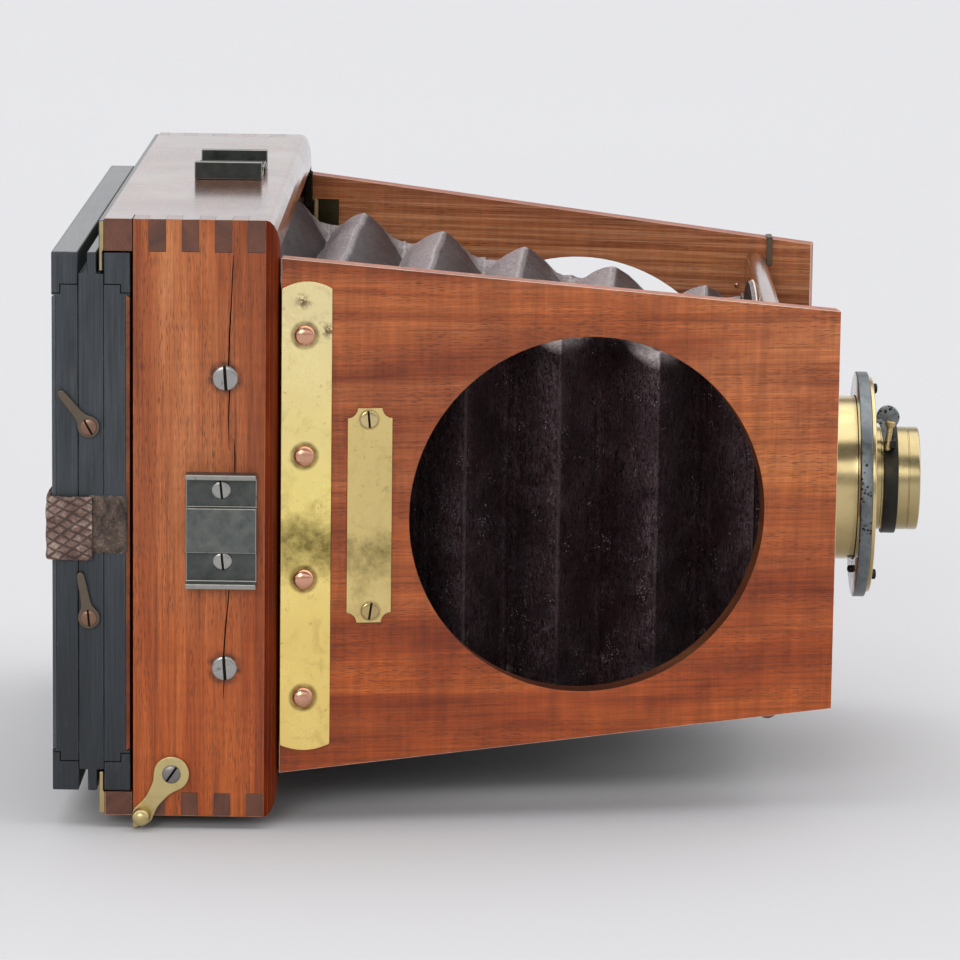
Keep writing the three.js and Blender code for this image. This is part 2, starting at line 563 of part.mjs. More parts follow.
// Hooks on the holder's near end: name, pivot height, degrees from +X towards +Z, length.
const HOOKS = [['upper_hook', 118, 129.5, 12.6], ['lower_hook', 60.4, 101, 12.9]];
const HOOK_X = -30.3;
const HOOK_Y = [HOLDER_NEAR - 1.7, HOLDER_NEAR - 0.4];
const HOOK_EYE_R = 3.3;
const HOOK_SHANK_R = 1.2;
for (const [name, z, angle, length] of HOOKS) {
  const turn = new THREE.Vector2(1, 0).rotateAround(new THREE.Vector2(), THREE.MathUtils.degToRad(angle));
  const at = ([d, o]) => [HOOK_X + turn.x * d - turn.y * o, z + turn.y * d + turn.x * o];
  const arm = [[0, -2.7], [length * 0.6, -1.7], [length, -1.3], [length + 0.9, 0], [length, 1.3],
    [length * 0.6, 1.7], [0, 2.7]];
  const hole = turnedAt(rod(HOOK_SHANK_R + 0.1, 8), 10, [HOOK_X, HOLDER_NEAR + 2, z], Y.clone().negate());
  const eye = alongY(disc(HOOK_X, z, HOOK_EYE_R), ...HOOK_Y, 6);
  add(name, eye.add(alongY(arm.map(at), ...HOOK_Y)).subtract(hole), steel());
  add(`${name}_screw`, domedScrew([HOOK_X, HOLDER_NEAR - 0.1, z], 2.6, HOOK_SHANK_R, 1.75), copper());
}

// ---- the front: lens board and lens ----
const lensHole = (radius) =>
  turnedAt(rod(radius, BARREL_X[1] - BOARD_X[0] + 2), 28, [BOARD_X[0] - 1, 0, LENS_Z], X);
function lensBoard() {
  const radius = (BOARD_X[1] - BOARD_X[0]) / 2;
  const outline = new THREE.Shape();
  outline.absarc(BOARD_X[0] + radius, BOARD_Z[1] - radius, radius, 0, Math.PI);
  outline.absarc(BOARD_X[0] + radius, BOARD_Z[0] + radius, radius, Math.PI, Math.PI * 2);
  return alongY(outline, -BOARD_HALF_WIDTH, BOARD_HALF_WIDTH, 6).subtract(lensHole(BOARD_HOLE_R));
}
add('lens_board', lensBoard(), mahogany());
const BELLOWS_FRONT_X = 168.4;
const CARD_OUTLINE = [-64, 64, 38, 135];
const CARD_HOLE = [-56, 56, 46, 126];
add('bellows_front_frame', alongX(holed(rectangle(...CARD_OUTLINE), rectangle(...CARD_HOLE)),
  BELLOWS_FRONT_X + 0.3, BOARD_X[0] - 0.1), leather());

const onLensAxis = (profile, segments = 28) => turnedAt(profile, segments, [0, 0, LENS_Z], X);
const flatDisc = ([x0, x1], radius, hole) =>
  alongX(disc(0, DISC_Z, radius), x0, x1, 14).subtract(lensHole(hole));
const FOOT_X = BOARD_X[1] + 0.2;
const FLANGE_X = [DISC_X[1] + 0.1, DISC_X[1] + 1.4];
const SLEEVE_R = 19;
const SLEEVE_X = 198;
const TUBE_FRONT = DISC_X[0] - 0.1;
add('lens_base_tube', onLensAxis([[TUBE_INNER_R, FOOT_X], [FOOT_R, FOOT_X], [FOOT_R, FOOT_X + 1.8],
  [TUBE_R, FOOT_X + 2.4], [TUBE_R, TUBE_FRONT], [TUBE_INNER_R, TUBE_FRONT], [TUBE_INNER_R, FOOT_X]]),
brass());
add('steel_disc', flatDisc(DISC_X, DISC_R, SLEEVE_R + 0.3), steel());
add('lens_flange', flatDisc(FLANGE_X, FLANGE_R, BARREL_R + 0.15)
  .add(onLensAxis(ring(BARREL_R + 0.15, SLEEVE_R, SLEEVE_X, FLANGE_X[0] + 0.5))), brass());
function barrel() {
  const [x0, x1] = BARREL_X;
  return onLensAxis([[BARREL_BORE, x0], [BARREL_R, x0], [BARREL_R, x1 - 0.6], [BARREL_R - 0.6, x1],
    [BARREL_BORE, x1], [BARREL_BORE, x0]]);
}
add('lens_barrel', barrel(), brass());
const LENS_R = BARREL_BORE - 0.2;
const lens = (x, thick) => onLensAxis([[0, x], [LENS_R * 0.63, x + 0.5], [LENS_R, x + 1.6],
  [LENS_R, x + thick - 1.6], [LENS_R * 0.63, x + thick - 0.5], [0, x + thick]], 20);
add('rear_lens', lens(192, 5), glass());
add('front_lens', lens(214, 5.5), glass());

// The clamp on the barrel, with its round ear and a lug for the screw.
const CLAMP_X = [211.7, 216.2];
const CLAMP_R = 17.5;
const EAR_Y = [-10.2, -7.8];
const EAR_R = 3.6;
const EAR_CENTRE = [213.7, 106.2];
const LUG_Z = [98.2, 101.2];
const CLAMP_SCREW = [213.9, -15.9, 95.4];
const CLAMP_SCREW_R = 1.2;
function clampRing() {
  const [screwX, screwY, screwZ] = CLAMP_SCREW;
  const earNeck = block([212.4, 215.4], EAR_Y, [99.9, EAR_CENTRE[1]]);
  const ear = alongY(disc(...EAR_CENTRE, EAR_R), ...EAR_Y, 6);
  const lug = block([212.2, 215.6], [screwY - 2, EAR_Y[0] + 0.2], LUG_Z);
  const screwHole = turnedAt(rod(CLAMP_SCREW_R + 0.15, 9), 10, [screwX, screwY, screwZ + 1], Z);
  return onLensAxis(ring(BARREL_R + 0.1, CLAMP_R, ...CLAMP_X)).add(earNeck).add(ear).add(lug)
    .subtract(screwHole).subtract(lensHole(BARREL_R + 0.1));
}
add('clamp_ring', clampRing(), gunmetal());
const CLAMP_HEAD_R = 1.9;
add('clamp_screw', turnedAt([[0, 0], [CLAMP_SCREW_R, 0], [CLAMP_SCREW_R, 6.2], [CLAMP_HEAD_R, 6.2],
  [CLAMP_HEAD_R, 8.2], [0, 8.2]], 12, CLAMP_SCREW, Z), brass());

// ---- the bellows: a pleated tube of leather from the rear frame to the lens board ----
const BELLOWS_REAR_X = -11.8;
const PLEATS = 7;
const PLEAT_DEPTH = 9;
const LEATHER = 1.2;
const halfWidth = (x) => 93.8 - 0.187 * (x + 5);
const halfHeight = (x) => 74 - 0.163 * (x + 5);
const middleZ = (x) => 89.9 - 0.022 * (x + 12);
function bellows() {
  const rings = PLEATS * 2;
  const outline = [[-1, -0.8], [-0.85, -1], [0.85, -1], [1, -0.8], [1, 0.8], [0.85, 1], [-0.85, 1],
    [-1, 0.8]];
  const positions = [];
  const section = (x, shrink) => {
    for (const [a, b] of outline) {
      positions.push(x, a * (halfWidth(x) - shrink), middleZ(x) + b * (halfHeight(x) - shrink));
    }
  };
  const place = (i) => BELLOWS_REAR_X + (BELLOWS_FRONT_X - BELLOWS_REAR_X) * (i / rings);
  const depth = (i) => (i % 2 === 1 ? 0 : PLEAT_DEPTH);
  for (let i = 0; i <= rings; i += 1) section(place(i), depth(i));
  for (let i = 0; i <= rings; i += 1) section(place(i), depth(i) + LEATHER);
  const n = outline.length;
  const faces = [];
  const quad = (a, b, c, d) => faces.push(a, b, c, a, c, d);
  for (let k = 0; k < n; k += 1) {
    const next = (k + 1) % n;
    const inside = (rings + 1) * n;
    for (let i = 0; i < rings; i += 1) {
      quad(i * n + k, i * n + next, (i + 1) * n + next, (i + 1) * n + k);
      quad(inside + i * n + next, inside + i * n + k, inside + (i + 1) * n + k, inside + (i + 1) * n + next);
    }
    quad(next, k, inside + k, inside + next);
    quad(rings * n + k, rings * n + next, inside + rings * n + next, inside + rings * n + k);
  }
  const geometry = new THREE.BufferGeometry();
  geometry.setAttribute('position', new THREE.Float32BufferAttribute(positions, 3));
  geometry.setIndex(faces);
  return geometry;
}
add('bellows', bellows(), leather());

export default camera;
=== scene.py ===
"""The looks of a folding wooden view camera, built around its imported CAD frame.

Metres, +X out of the lens, +Z up.
"""
import json
import math

import bmesh
import bpy
from mathutils import Matrix, Vector, noise


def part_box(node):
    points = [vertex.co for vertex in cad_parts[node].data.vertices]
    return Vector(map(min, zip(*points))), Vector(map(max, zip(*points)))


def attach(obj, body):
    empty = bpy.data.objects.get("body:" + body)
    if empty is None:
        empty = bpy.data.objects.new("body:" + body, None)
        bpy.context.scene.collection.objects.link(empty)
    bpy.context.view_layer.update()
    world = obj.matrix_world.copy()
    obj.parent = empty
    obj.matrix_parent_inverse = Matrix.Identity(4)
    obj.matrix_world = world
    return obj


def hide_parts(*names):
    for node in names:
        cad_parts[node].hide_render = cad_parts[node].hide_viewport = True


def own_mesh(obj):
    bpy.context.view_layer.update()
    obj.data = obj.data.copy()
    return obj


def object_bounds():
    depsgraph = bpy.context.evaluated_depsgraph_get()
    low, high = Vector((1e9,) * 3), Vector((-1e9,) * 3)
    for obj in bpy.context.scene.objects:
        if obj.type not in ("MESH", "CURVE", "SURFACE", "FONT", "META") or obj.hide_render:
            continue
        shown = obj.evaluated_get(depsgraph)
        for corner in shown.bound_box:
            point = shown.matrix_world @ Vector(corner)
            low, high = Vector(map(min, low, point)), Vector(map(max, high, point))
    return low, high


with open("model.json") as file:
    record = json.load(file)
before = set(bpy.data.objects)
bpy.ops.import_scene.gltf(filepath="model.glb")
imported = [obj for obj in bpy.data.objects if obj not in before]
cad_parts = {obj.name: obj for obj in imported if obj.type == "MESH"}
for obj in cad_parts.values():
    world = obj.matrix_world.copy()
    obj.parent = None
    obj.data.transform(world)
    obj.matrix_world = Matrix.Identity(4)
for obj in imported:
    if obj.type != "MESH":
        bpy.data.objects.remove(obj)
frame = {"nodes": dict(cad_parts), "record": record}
CAD_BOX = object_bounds()
MM = 0.001
X, Y, Z = Vector((1, 0, 0)), Vector((0, 1, 0)), Vector((0, 0, 1))
RECORD = frame["record"]
BODY_OF = {node: body for body, nodes in RECORD["behaviour"]["bodies"].items() for node in nodes}
SLOT_OF = {part["node"]: part["material_slot"] for part in RECORD["subparts"]}


# ---- driving dimensions, read from the frame where a node holds them ----
BOX_LOW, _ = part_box("bottom_board")
_, BOX_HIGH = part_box("top_board")
NEAR_FACE = BOX_LOW.y
CHEEK_TOE = math.radians(9.469)
CHEEK_THICK = 7 * MM
WINDOW_CENTRE = Vector((117.7, 0, 89.5)) * MM
WINDOW_R = 54.1 * MM
LENS_Z = 85.7 * MM
TO_FRONT = Vector((math.cos(CHEEK_TOE), math.sin(CHEEK_TOE), 0))
OUTWARD = Vector((math.sin(CHEEK_TOE), -math.cos(CHEEK_TOE), 0))
CHEEK_CORNER = Vector((26.15, -105.57, 0)) * MM


def on_cheek(x, z, out=0.0):
    """A point on the near cheek's outer face at x and z, or that far outside it."""
    along = (x - CHEEK_CORNER.x) / TO_FRONT.x
    return CHEEK_CORNER + TO_FRONT * along + OUTWARD * out + Z * z


RIVET_X = 33 * MM
RIVET_Z = (145.2, 109, 71.7, 35.6)
PLATE_SCREWS_XZ = ((52.1, 119.75), (52.9, 61.6))
SIDE_SCREW_X = 10
SIDE_SCREW_Z = {"upper": 133, "lower": 45.5}


def mirrored(point):
    """The same point on the far side of the camera."""
    return Vector((point.x, -point.y, point.z))


# ---- materials ----
class Nodes:
    """A node tree under construction, whose methods add nodes and return their output."""

    def __init__(self, tree):
        self.tree = tree

    def put(self, socket, value):
        """Links an output to a socket, or sets the socket's own value."""
        if isinstance(value, bpy.types.NodeSocket):
            self.tree.links.new(value, socket)
        else:
            socket.default_value = value

    def node(self, kind, out=0, inputs=None, **settings):
        """A node with its settings and inputs; out is the output to return."""
        node = self.tree.nodes.new(kind)
        for key, value in settings.items():
            setattr(node, key, value)
        for key, value in (inputs or {}).items():
            self.put(node.inputs[key], value)
        return node.outputs[out]

    def ramp(self, value, *stops):
        """Colours or greys at positions: (position, colour), ..."""
        node = self.tree.nodes.new("ShaderNodeValToRGB")
        self.tree.links.new(value, node.inputs[0])
        elements = node.color_ramp.elements
        while len(elements) < len(stops):
            elements.new(0.5)
        for element, (position, colour) in zip(elements, stops):
            element.position = position
            element.color = (*colour, 1) if isinstance(colour, tuple) else (colour, colour, colour, 1)
        return node.outputs[0]

    def math(self, operation, a, b=0.0):
        """An operation on one or two numbers, such as MAXIMUM."""
        return self.node("ShaderNodeMath", operation=operation, inputs={0: a, 1: b})


class Shader(Nodes):
    """A material's node tree, whose textures lie in the object's coordinates turned about Z."""

    def __init__(self, name, turn=0.0):
        self.material = bpy.data.materials.new(name)
        self.material.use_nodes = True
        super().__init__(self.material.node_tree)
        self.tree.nodes.clear()
        self.bsdf = self.tree.nodes.new("ShaderNodeBsdfPrincipled")
        output = self.tree.nodes.new("ShaderNodeOutputMaterial")
        self.tree.links.new(self.bsdf.outputs[0], output.inputs["Surface"])
        self.place = self.node("ShaderNodeTexCoord", out="Object")
        if turn:
            self.place = self.node("ShaderNodeMapping",
                                   inputs={"Vector": self.place, "Rotation": (0, 0, turn)})

    def surface(self, **inputs):
        """Sets the Principled shader's sockets, named with _ for a space."""
        for key, value in inputs.items():
            if key.endswith("Color") and isinstance(value, tuple):
                value = (*value, 1)
            self.put(self.bsdf.inputs[key.replace("_", " ")], value)
        return self.material

    def scaled(self, scale, shift=(0, 0, 0)):
        """The place stretched by a scale along each axis, then shifted."""
        return self.node("ShaderNodeMapping", inputs={"Vector": self.place, "Scale": scale,
                                                      "Location": shift})

    def noise(self, scale, detail=4.0, roughness=0.5, distortion=0.0, shift=(0, 0, 0)):
        """Noise from 0 to 1. scale is cycles per metre along X, Y and Z, or one number for all."""
        scale = (scale,) * 3 if isinstance(scale, (int, float)) else scale
        return self.node("ShaderNodeTexNoise", inputs={
            "Vector": self.scaled(scale, shift), "Scale": 1.0, "Detail": detail, "Roughness": roughness,
            "Distortion": distortion})

    def cells(self, scale, shift=(0, 0, 0), feature="F1"):
        """Distance to the nearest cell's middle."""
        scale = (scale,) * 3 if isinstance(scale, (int, float)) else scale
        return self.node("ShaderNodeTexVoronoi", feature=feature,
                         inputs={"Vector": self.scaled(scale, shift), "Scale": 1.0})

    def times(self, a, b):
        return self.math("MULTIPLY", a, b)

    def plus(self, a, b):
        return self.math("ADD", a, b)

    def minus(self, a, b):
        return self.math("SUBTRACT", a, b)

    def axis(self, name):
        """One coordinate of the place, in metres."""
        return self.node("ShaderNodeSeparateXYZ", out=name, inputs={0: self.place})

    def height(self, wander, scale, detail=4.0):
        """How high a place lies, in metres, moved by up to wander metres of noise."""
        return self.plus(self.axis("Z"), self.times(self.noise(scale, detail), wander))

    def fade(self, value, start, end, at_start, at_end=0.0):
        """A smooth step from at_start, where the value is start, to at_end, where it is end."""
        return self.node("ShaderNodeMapRange", interpolation_type="SMOOTHSTEP", inputs={
            "Value": value, "From Min": start, "From Max": end, "To Min": at_start, "To Max": at_end})

    def mix(self, share, a, b, blend="MIX"):
        """Colour a, with b laid over it by the share."""
        node = self.tree.nodes.new("ShaderNodeMix")
        node.data_type = "RGBA"
        node.blend_type = blend
        for key, value in (("Factor", share), ("A", a), ("B", b)):
            socket = [s for s in node.inputs if s.name == key and s.enabled][0]
            if isinstance(value, tuple):
                value = (*value, 1)
            self.put(socket, value)
        return [s for s in node.outputs if s.enabled][0]

    def multiplied(self, colour, factor, share=1.0):
        """A colour multiplied by another, or by a grey."""
        return self.mix(share, colour, factor, "MULTIPLY")

    def near(self, centre, inner, outer):
        """1 within inner metres of a point, 0 beyond outer."""
        away = self.node("ShaderNodeVectorMath", out="Value", operation="DISTANCE",
                         inputs={0: self.node("ShaderNodeTexCoord", out="Object"), 1: tuple(centre)})
        return self.fade(away, inner, outer, 1.0)

    def near_any(self, centres, inner, outer):
        """The strongest of near() over several points."""
        share = self.near(centres[0], inner, outer)
        for centre in centres[1:]:
            share = self.math("MAXIMUM", share, self.near(centre, inner, outer))
        return share

    def bump(self, height, distance, strength=1.0, under=None):
        """A normal that follows a height; distance is how high 1 stands."""
        inputs = {"Height": height, "Distance": distance, "Strength": strength}
        if under:
            inputs["Normal"] = under
        return self.node("ShaderNodeBump", inputs=inputs)


def toned(colour, share):
    """A colour with every channel times share."""
    return tuple(channel * share for channel in colour)


def stretched(grain, along, across):
    """A scale for wood grain that runs along one axis, in cycles per metre."""
    return tuple(along if axis == grain else across for axis in "XYZ")


def mahogany(name, grain, shift=(0, 0, 0), tone=1.0, gloss=0.3, figure=0.5, coat=0.15, turn=0.0, screw_shade=(),
             scratched=(), low_shade=1.0, faded=0.0):
    """Polished mahogany: broad colour bands, ribbon figure, fibres and dark pores along the grain.

    turn is how far the grain is turned about Z. screw_shade lists points with a painted shade round them, a
    dark ring where a screw head sits, and scratched points with pale scratches round them. low_shade is how
    much a painted shade darkens and deepens the colour low down, and faded is how far the wood has gone
    from red to brown.
    """
    s = Shader(name, turn)

    def tint(r, g, b):
        return (r * tone, g * tone, b * tone)

    bands = s.noise(stretched(grain, 5, 60), 4, 0.55, 0.8, shift)
    colour = s.ramp(bands, (0.28, tint(0.22, 0.044, 0.009)), (0.44, tint(0.37, 0.092, 0.024)),
                    (0.57, tint(0.47, 0.138, 0.042)), (0.75, tint(0.58, 0.21, 0.075)))
    # Painted shade: the colour turns darker and deeper low down.
    low = s.fade(s.height(30 * MM, 24, 3), 55 * MM, 120 * MM, low_shade)
    colour = s.multiplied(colour, (0.92, 0.68, 0.38), low)
    clouds = s.noise(stretched(grain, 13, 26), 4, 0.6, 0.6, shift)
    shading = s.ramp(clouds, (0.36, (0.72, 0.6, 0.6)), (0.5, (1.0, 0.98, 1.0)), (0.64, (1.16, 1.14, 0.98)))
    colour = s.multiplied(colour, shading, figure)
    ribbon = s.noise(stretched(grain, 380, 30), 4, 0.65, 0.3, shift)
    colour = s.multiplied(colour, s.ramp(ribbon, (0.3, 1 - 0.24 * figure), (0.7, 1 + 0.2 * figure)))
    strands = s.noise(stretched(grain, 14, 1200), 6, 0.68, 0.15, shift)
    colour = s.multiplied(colour, s.ramp(strands, (0.34, 0.8), (0.5, 0.99), (0.68, 1.14)))
    fibres = s.noise(stretched(grain, 60, 2400), 6, 0.7, 0.0, shift)
    colour = s.multiplied(colour, s.ramp(fibres, (0.3, 0.66), (0.5, 0.97), (0.72, 1.25)))
    pores = s.cells(stretched(grain, 260, 2900), shift)
    open_pore = s.ramp(pores, (0.15, 1.0), (0.38, 0.0))
    where = s.ramp(s.noise(stretched(grain, 24, 180), 3, 0.6, 0.0, shift), (0.4, 0.25), (0.6, 1.0))
    pore = s.times(open_pore, where)
    colour = s.mix(s.times(pore, 0.85), colour, tint(0.07, 0.02, 0.01))
    streaks = s.ramp(s.noise(stretched(grain, 8, 330), 5, 0.7, 0.3, shift), (0.54, 0.0), (0.72, 0.75))
    colour = s.mix(streaks, colour, tint(0.15, 0.032, 0.01))
    if faded:
        pale = s.ramp(strands, (0.38, (0.07, 0.032, 0.015)), (0.5, (0.27, 0.145, 0.075)),
                      (0.64, (0.7, 0.45, 0.25)))
        colour = s.mix(faded, colour, pale)
    # Painted shade: a patchy dark ring round each listed point, where a screw head sits on the board.
    if screw_shade:
        patchy = s.ramp(s.noise(500, 4), (0.35, 0.25), (0.6, 0.85))
        stain = s.times(s.near_any(screw_shade, 3.9 * MM, 6.2 * MM), patchy)
        colour = s.mix(stain, colour, tint(0.05, 0.016, 0.008))
    if scratched:
        slanting = s.node("ShaderNodeMapping", inputs={
            "Vector": s.place, "Rotation": (0, 0.45, 0), "Scale": (1500, 20, 26)})
        hairs = s.node("ShaderNodeTexNoise", inputs={"Vector": slanting, "Scale": 1.0, "Detail": 2.0})
        lines = s.ramp(hairs, (0.68, 0.0), (0.76, 0.5))
        marked = s.times(lines, s.near_any(scratched, 6 * MM, 17 * MM))
        colour = s.mix(marked, colour, (0.72, 0.5, 0.42))
    worn = s.noise(26, 6, 0.65, 0.3, shift)
    relief = s.minus(s.times(fibres, 0.3), pore)
    return s.surface(
        Base_Color=colour, Roughness=s.ramp(worn, (0.3, gloss), (0.75, gloss + 0.22)),
        Normal=s.bump(relief, 0.06 * MM, 0.5), Coat_Weight=coat, Coat_Roughness=0.13,
        Specular_IOR_Level=0.3)


def unpolished(side, turn):
    """The inside of a cheek: bare wood, gone from red to brown."""
    return mahogany("mahogany_unpolished_" + side, "X", (3.1, 0.8, 1.3), tone=1.15, gloss=0.6, figure=0.9,
                    coat=0.0, low_shade=0, faded=0.36, turn=turn)


def end_grain(name, shift=(0, 0, 0), polish=0.2):
    """Dark end grain: small round pores in curved rings. polish is how thick the varnish on it is."""
    s = Shader(name)
    rings = s.noise((60, 60, 60), 3, 0.6, 1.5, shift)
    colour = s.ramp(rings, (0.35, (0.075, 0.022, 0.01)), (0.65, (0.17, 0.05, 0.02)))
    pores = s.ramp(s.cells(2100, shift), (0.15, 0.0), (0.35, 1.0))
    colour = s.multiplied(colour, s.mix(pores, (0.35, 0.3, 0.3), (1, 1, 1)))
    return s.surface(Base_Color=colour, Roughness=0.42, Normal=s.bump(pores, 0.05 * MM, 0.6),
                     Coat_Weight=polish, Coat_Roughness=0.14)


def varnish_edge(name):
    """Thick polish on the rounded front edge: deep orange-brown, nearly black in the hollows."""
    s = Shader(name)
    depth = s.noise((90, 60, 22), 4, 0.6, 0.6)
    colour = s.ramp(depth, (0.3, (0.075, 0.008, 0.0008)), (0.55, (0.14, 0.016, 0.001)),
                    (0.8, (0.24, 0.045, 0.004)))
    return s.surface(Base_Color=colour, Roughness=0.5, Specular_IOR_Level=0.06, Coat_Weight=0.04,
                     Coat_Roughness=0.1)


def worn_arris_highlight(name, pale=0.0):
    """The edge of a polished board, where the polish is thin and worn pale, with a painted highlight: its
    pale colours stand in for the light that the edge catches.
    """
    s = Shader(name)
    rub = s.noise(90, 5, 0.7)
    # Wear and painted highlight: the pale stops of this ramp, and the pale share below, stand in for light
    # on the edge.
    colour = s.ramp(rub, (0.35, (0.24, 0.075, 0.03)), (0.52, (0.48, 0.22, 0.11)), (0.66, (0.8, 0.56, 0.38)))
    bare = s.ramp(s.noise(60, 5, 0.7, 0.4), (0.35, 0.55), (0.6, 1.0))
    colour = s.mix(s.times(bare, pale), colour, (0.9, 0.76, 0.66))
    return s.surface(Base_Color=colour, Roughness=s.ramp(rub, (0.3, 0.2), (0.8, 0.42)), Coat_Weight=0.9,
                     Coat_Roughness=0.14)


def ebonised(name, grain, shift=(0, 0, 0), worn=0.3, coat=0.0):
    """Blackened wood with a satin finish, its grain open and its high spots worn grey-brown, and a painted
    shade that darkens it low down.
    """
    s = Shader(name)
    fibres = s.noise(stretched(grain, 40, 1500), 6, 0.7, 0.0, shift)
    broad = s.noise(stretched(grain, 14, 70), 4, 0.6, 0.5, shift)
    colour = s.ramp(broad, (0.3, (0.02, 0.026, 0.032)), (0.7, (0.05, 0.06, 0.07)))
    colour = s.multiplied(colour, s.ramp(fibres, (0.35, 0.55), (0.7, 1.45)))
    # Painted shade: the colour darkens towards the bottom.
    low = s.fade(s.height(50 * MM, 30), 60 * MM, 125 * MM, 0.85)
    colour = s.multiplied(colour, (0.42, 0.47, 0.52), low)
    rub = s.ramp(s.noise(stretched(grain, 50, 420), 6, 0.7, 0.6, shift), (0.66 - 0.1 * worn, 0.0),
                 (0.85, 1.0))
    colour = s.mix(s.times(rub, worn), colour, (0.16, 0.13, 0.105))
    return s.surface(Base_Color=colour, Roughness=s.ramp(broad, (0.3, 0.38), (0.7, 0.58)),
                     Normal=s.bump(fibres, 0.09 * MM, 0.7), Specular_IOR_Level=0.5, Coat_Weight=coat,
                     Coat_Roughness=0.22)


def metal(name, colour, dark, roughness=(0.22, 0.42), spots=0.35, brushed=None, tint=None, rings=None,
          stain=None, blots=(), under=None, painted_sheen=0.0):
    """Handled metal: soft patches of tarnish, fine scratches, and darker spots.

    rings is (points, inner, outer): a dark ring round each rivet or screw head, dirt with a painted shade
    where
    the head meets the metal. stain is (weight, height): a cloud of tarnish at that height, wider and darker
    with the weight 1 than with 0. blots lists points with a few brown spots round them. under is the height
    below which the metal turns darker, a painted shade on the underside. painted_sheen is how much paler it
    is at the top of the strip, a painted reflection, and how much yellower at its foot.
    """
    s = Shader(name)
    patches = s.noise(38, 6, 0.62, 0.5)
    base = s.ramp(patches, (0.3, colour), (0.62, toned(colour, 0.9)), (0.88, tint or dark))
    specks = s.ramp(s.noise(330, 4, 0.7, 0.4), (0.62, 0.0), (0.7, 1.0))
    base = s.mix(s.ramp(s.noise(95, 6, 0.72, 1.0, (4, 2, 7)), (0.52, 0.0), (0.78, 0.4)), base, tint or dark)
    base = s.mix(s.times(specks, spots), base, dark)
    # Dirt and painted shade: a patchy dark ring round each rivet or screw head, where it meets the metal.
    if rings:
        centres, inner, outer = rings
        patchy = s.ramp(s.noise(300, 4), (0.3, 0.5), (0.7, 0.95))
        ring = s.times(s.near_any(centres, inner, outer), patchy)
        base = s.mix(ring, base, toned(dark, 0.6))
    if stain:
        weight, middle = stain
        away = s.math("ABSOLUTE", s.minus(s.axis("Z"), middle))
        band = s.ramp(away, (0.0, 1.0 + 0.4 * weight), (0.016 + 0.003 * weight, 0.0))
        cloud = s.minus(band, s.ramp(s.noise(130, 6, 0.66), (0.3, 0.9), (0.66, 0.0)))
        cloud = s.math("MINIMUM", s.math("MAXIMUM", cloud, 0.0), 1.0)
        cloud = s.times(cloud, s.ramp(s.noise(420, 5, 0.7), (0.3, 0.6), (0.7, 1.0)))
        base = s.mix(cloud, base, (0.15, 0.115, 0.035))
    # Painted reflection: paler and bluer towards the top of the strip, more yellow towards its foot.
    if painted_sheen:
        height = s.times(s.height(24 * MM, 60), 5.0)
        sheen_by_height = s.ramp(height, (0.33, (1.06, 0.98, 0.74)), (0.56, (1.1, 1.1, 0.88)),
                      (0.82, (1.05, 1.1, 1.35)))
        base = s.multiplied(base, sheen_by_height, painted_sheen)
    if blots:
        brown = s.ramp(s.noise(520, 6, 0.75), (0.46, 0.0), (0.52, 1.0))
        base = s.mix(s.times(s.near_any(blots, 0.3 * MM, 3.3 * MM), brown), base, (0.1, 0.04, 0.014))
    # Painted shade: the metal darkens below the given height, as on the underside of a turned part.
    if under:
        low = s.fade(s.height(12 * MM, 130), under - 8 * MM, under + 14 * MM, 0.75)
        base = s.mix(low, base, tuple(c * share for c, share in zip(colour, (0.66, 0.62, 0.5))))
    direction = stretched(brushed, 60, 3200) if brushed else (900, 900, 900)
    scratches = s.noise(direction, 4, 0.6)
    rough = s.plus(s.ramp(patches, (0.3, roughness[0]), (0.8, roughness[1])),
                   s.times(s.minus(scratches, 0.5), 0.14))
    return s.surface(Base_Color=base, Metallic=1.0, Roughness=rough,
                     Normal=s.bump(scratches, 0.012 * MM, 0.5))


def blackened(name, tone=1.0):
    """Gunmetal finish: dark grey-green, streaked, with paler rubbed patches."""
    s = Shader(name)
    patches = s.noise((260, 260, 260), 5, 0.65, 0.2)
    dark, middle, pale = (toned(grey, tone) for grey in (
        (0.085, 0.095, 0.092), (0.13, 0.14, 0.13), (0.2, 0.2, 0.18)))
    colour = s.ramp(patches, (0.3, dark), (0.55, middle), (0.85, pale))
    fine = s.noise((2500, 90, 90), 4, 0.6)
    return s.surface(Base_Color=colour, Metallic=0.85, Roughness=s.ramp(patches, (0.3, 0.36), (0.8, 0.55)),
                     Normal=s.bump(fine, 0.02 * MM, 0.5))


def pitted_steel(name, pitted, tone=1.0, roughness=(0.32, 0.5)):
    """Bare steel with a dull face and small black rust pits, thickest round one point."""
    s = Shader(name)
    cloud = s.noise(150, 6, 0.72, 0.4)
    dark, middle, pale = (toned(grey, tone) for grey in (
        (0.1, 0.112, 0.115), (0.22, 0.24, 0.245), (0.36, 0.385, 0.39)))
    colour = s.ramp(cloud, (0.3, dark), (0.6, middle), (0.85, pale))
    thick = s.times(s.near(pitted, 5 * MM, 19 * MM), 0.2)
    where = s.ramp(s.plus(s.noise(180, 3, 0.6), thick), (0.6, 0.0), (0.68, 1.0))
    pits = s.times(s.ramp(s.cells(820), (0.3, 1.0), (0.42, 0.0)), where)
    colour = s.mix(pits, colour, (0.012, 0.011, 0.01))
    rough = s.plus(s.ramp(cloud, (0.3, roughness[0]), (0.8, roughness[1])), s.times(pits, 0.3))
    height = s.minus(s.times(cloud, 0.4), pits)
    return s.surface(Base_Color=colour, Metallic=s.ramp(pits, (0.0, 1.0), (1.0, 0.3)), Roughness=rough,
                     Normal=s.bump(height, 0.08 * MM, 0.5))


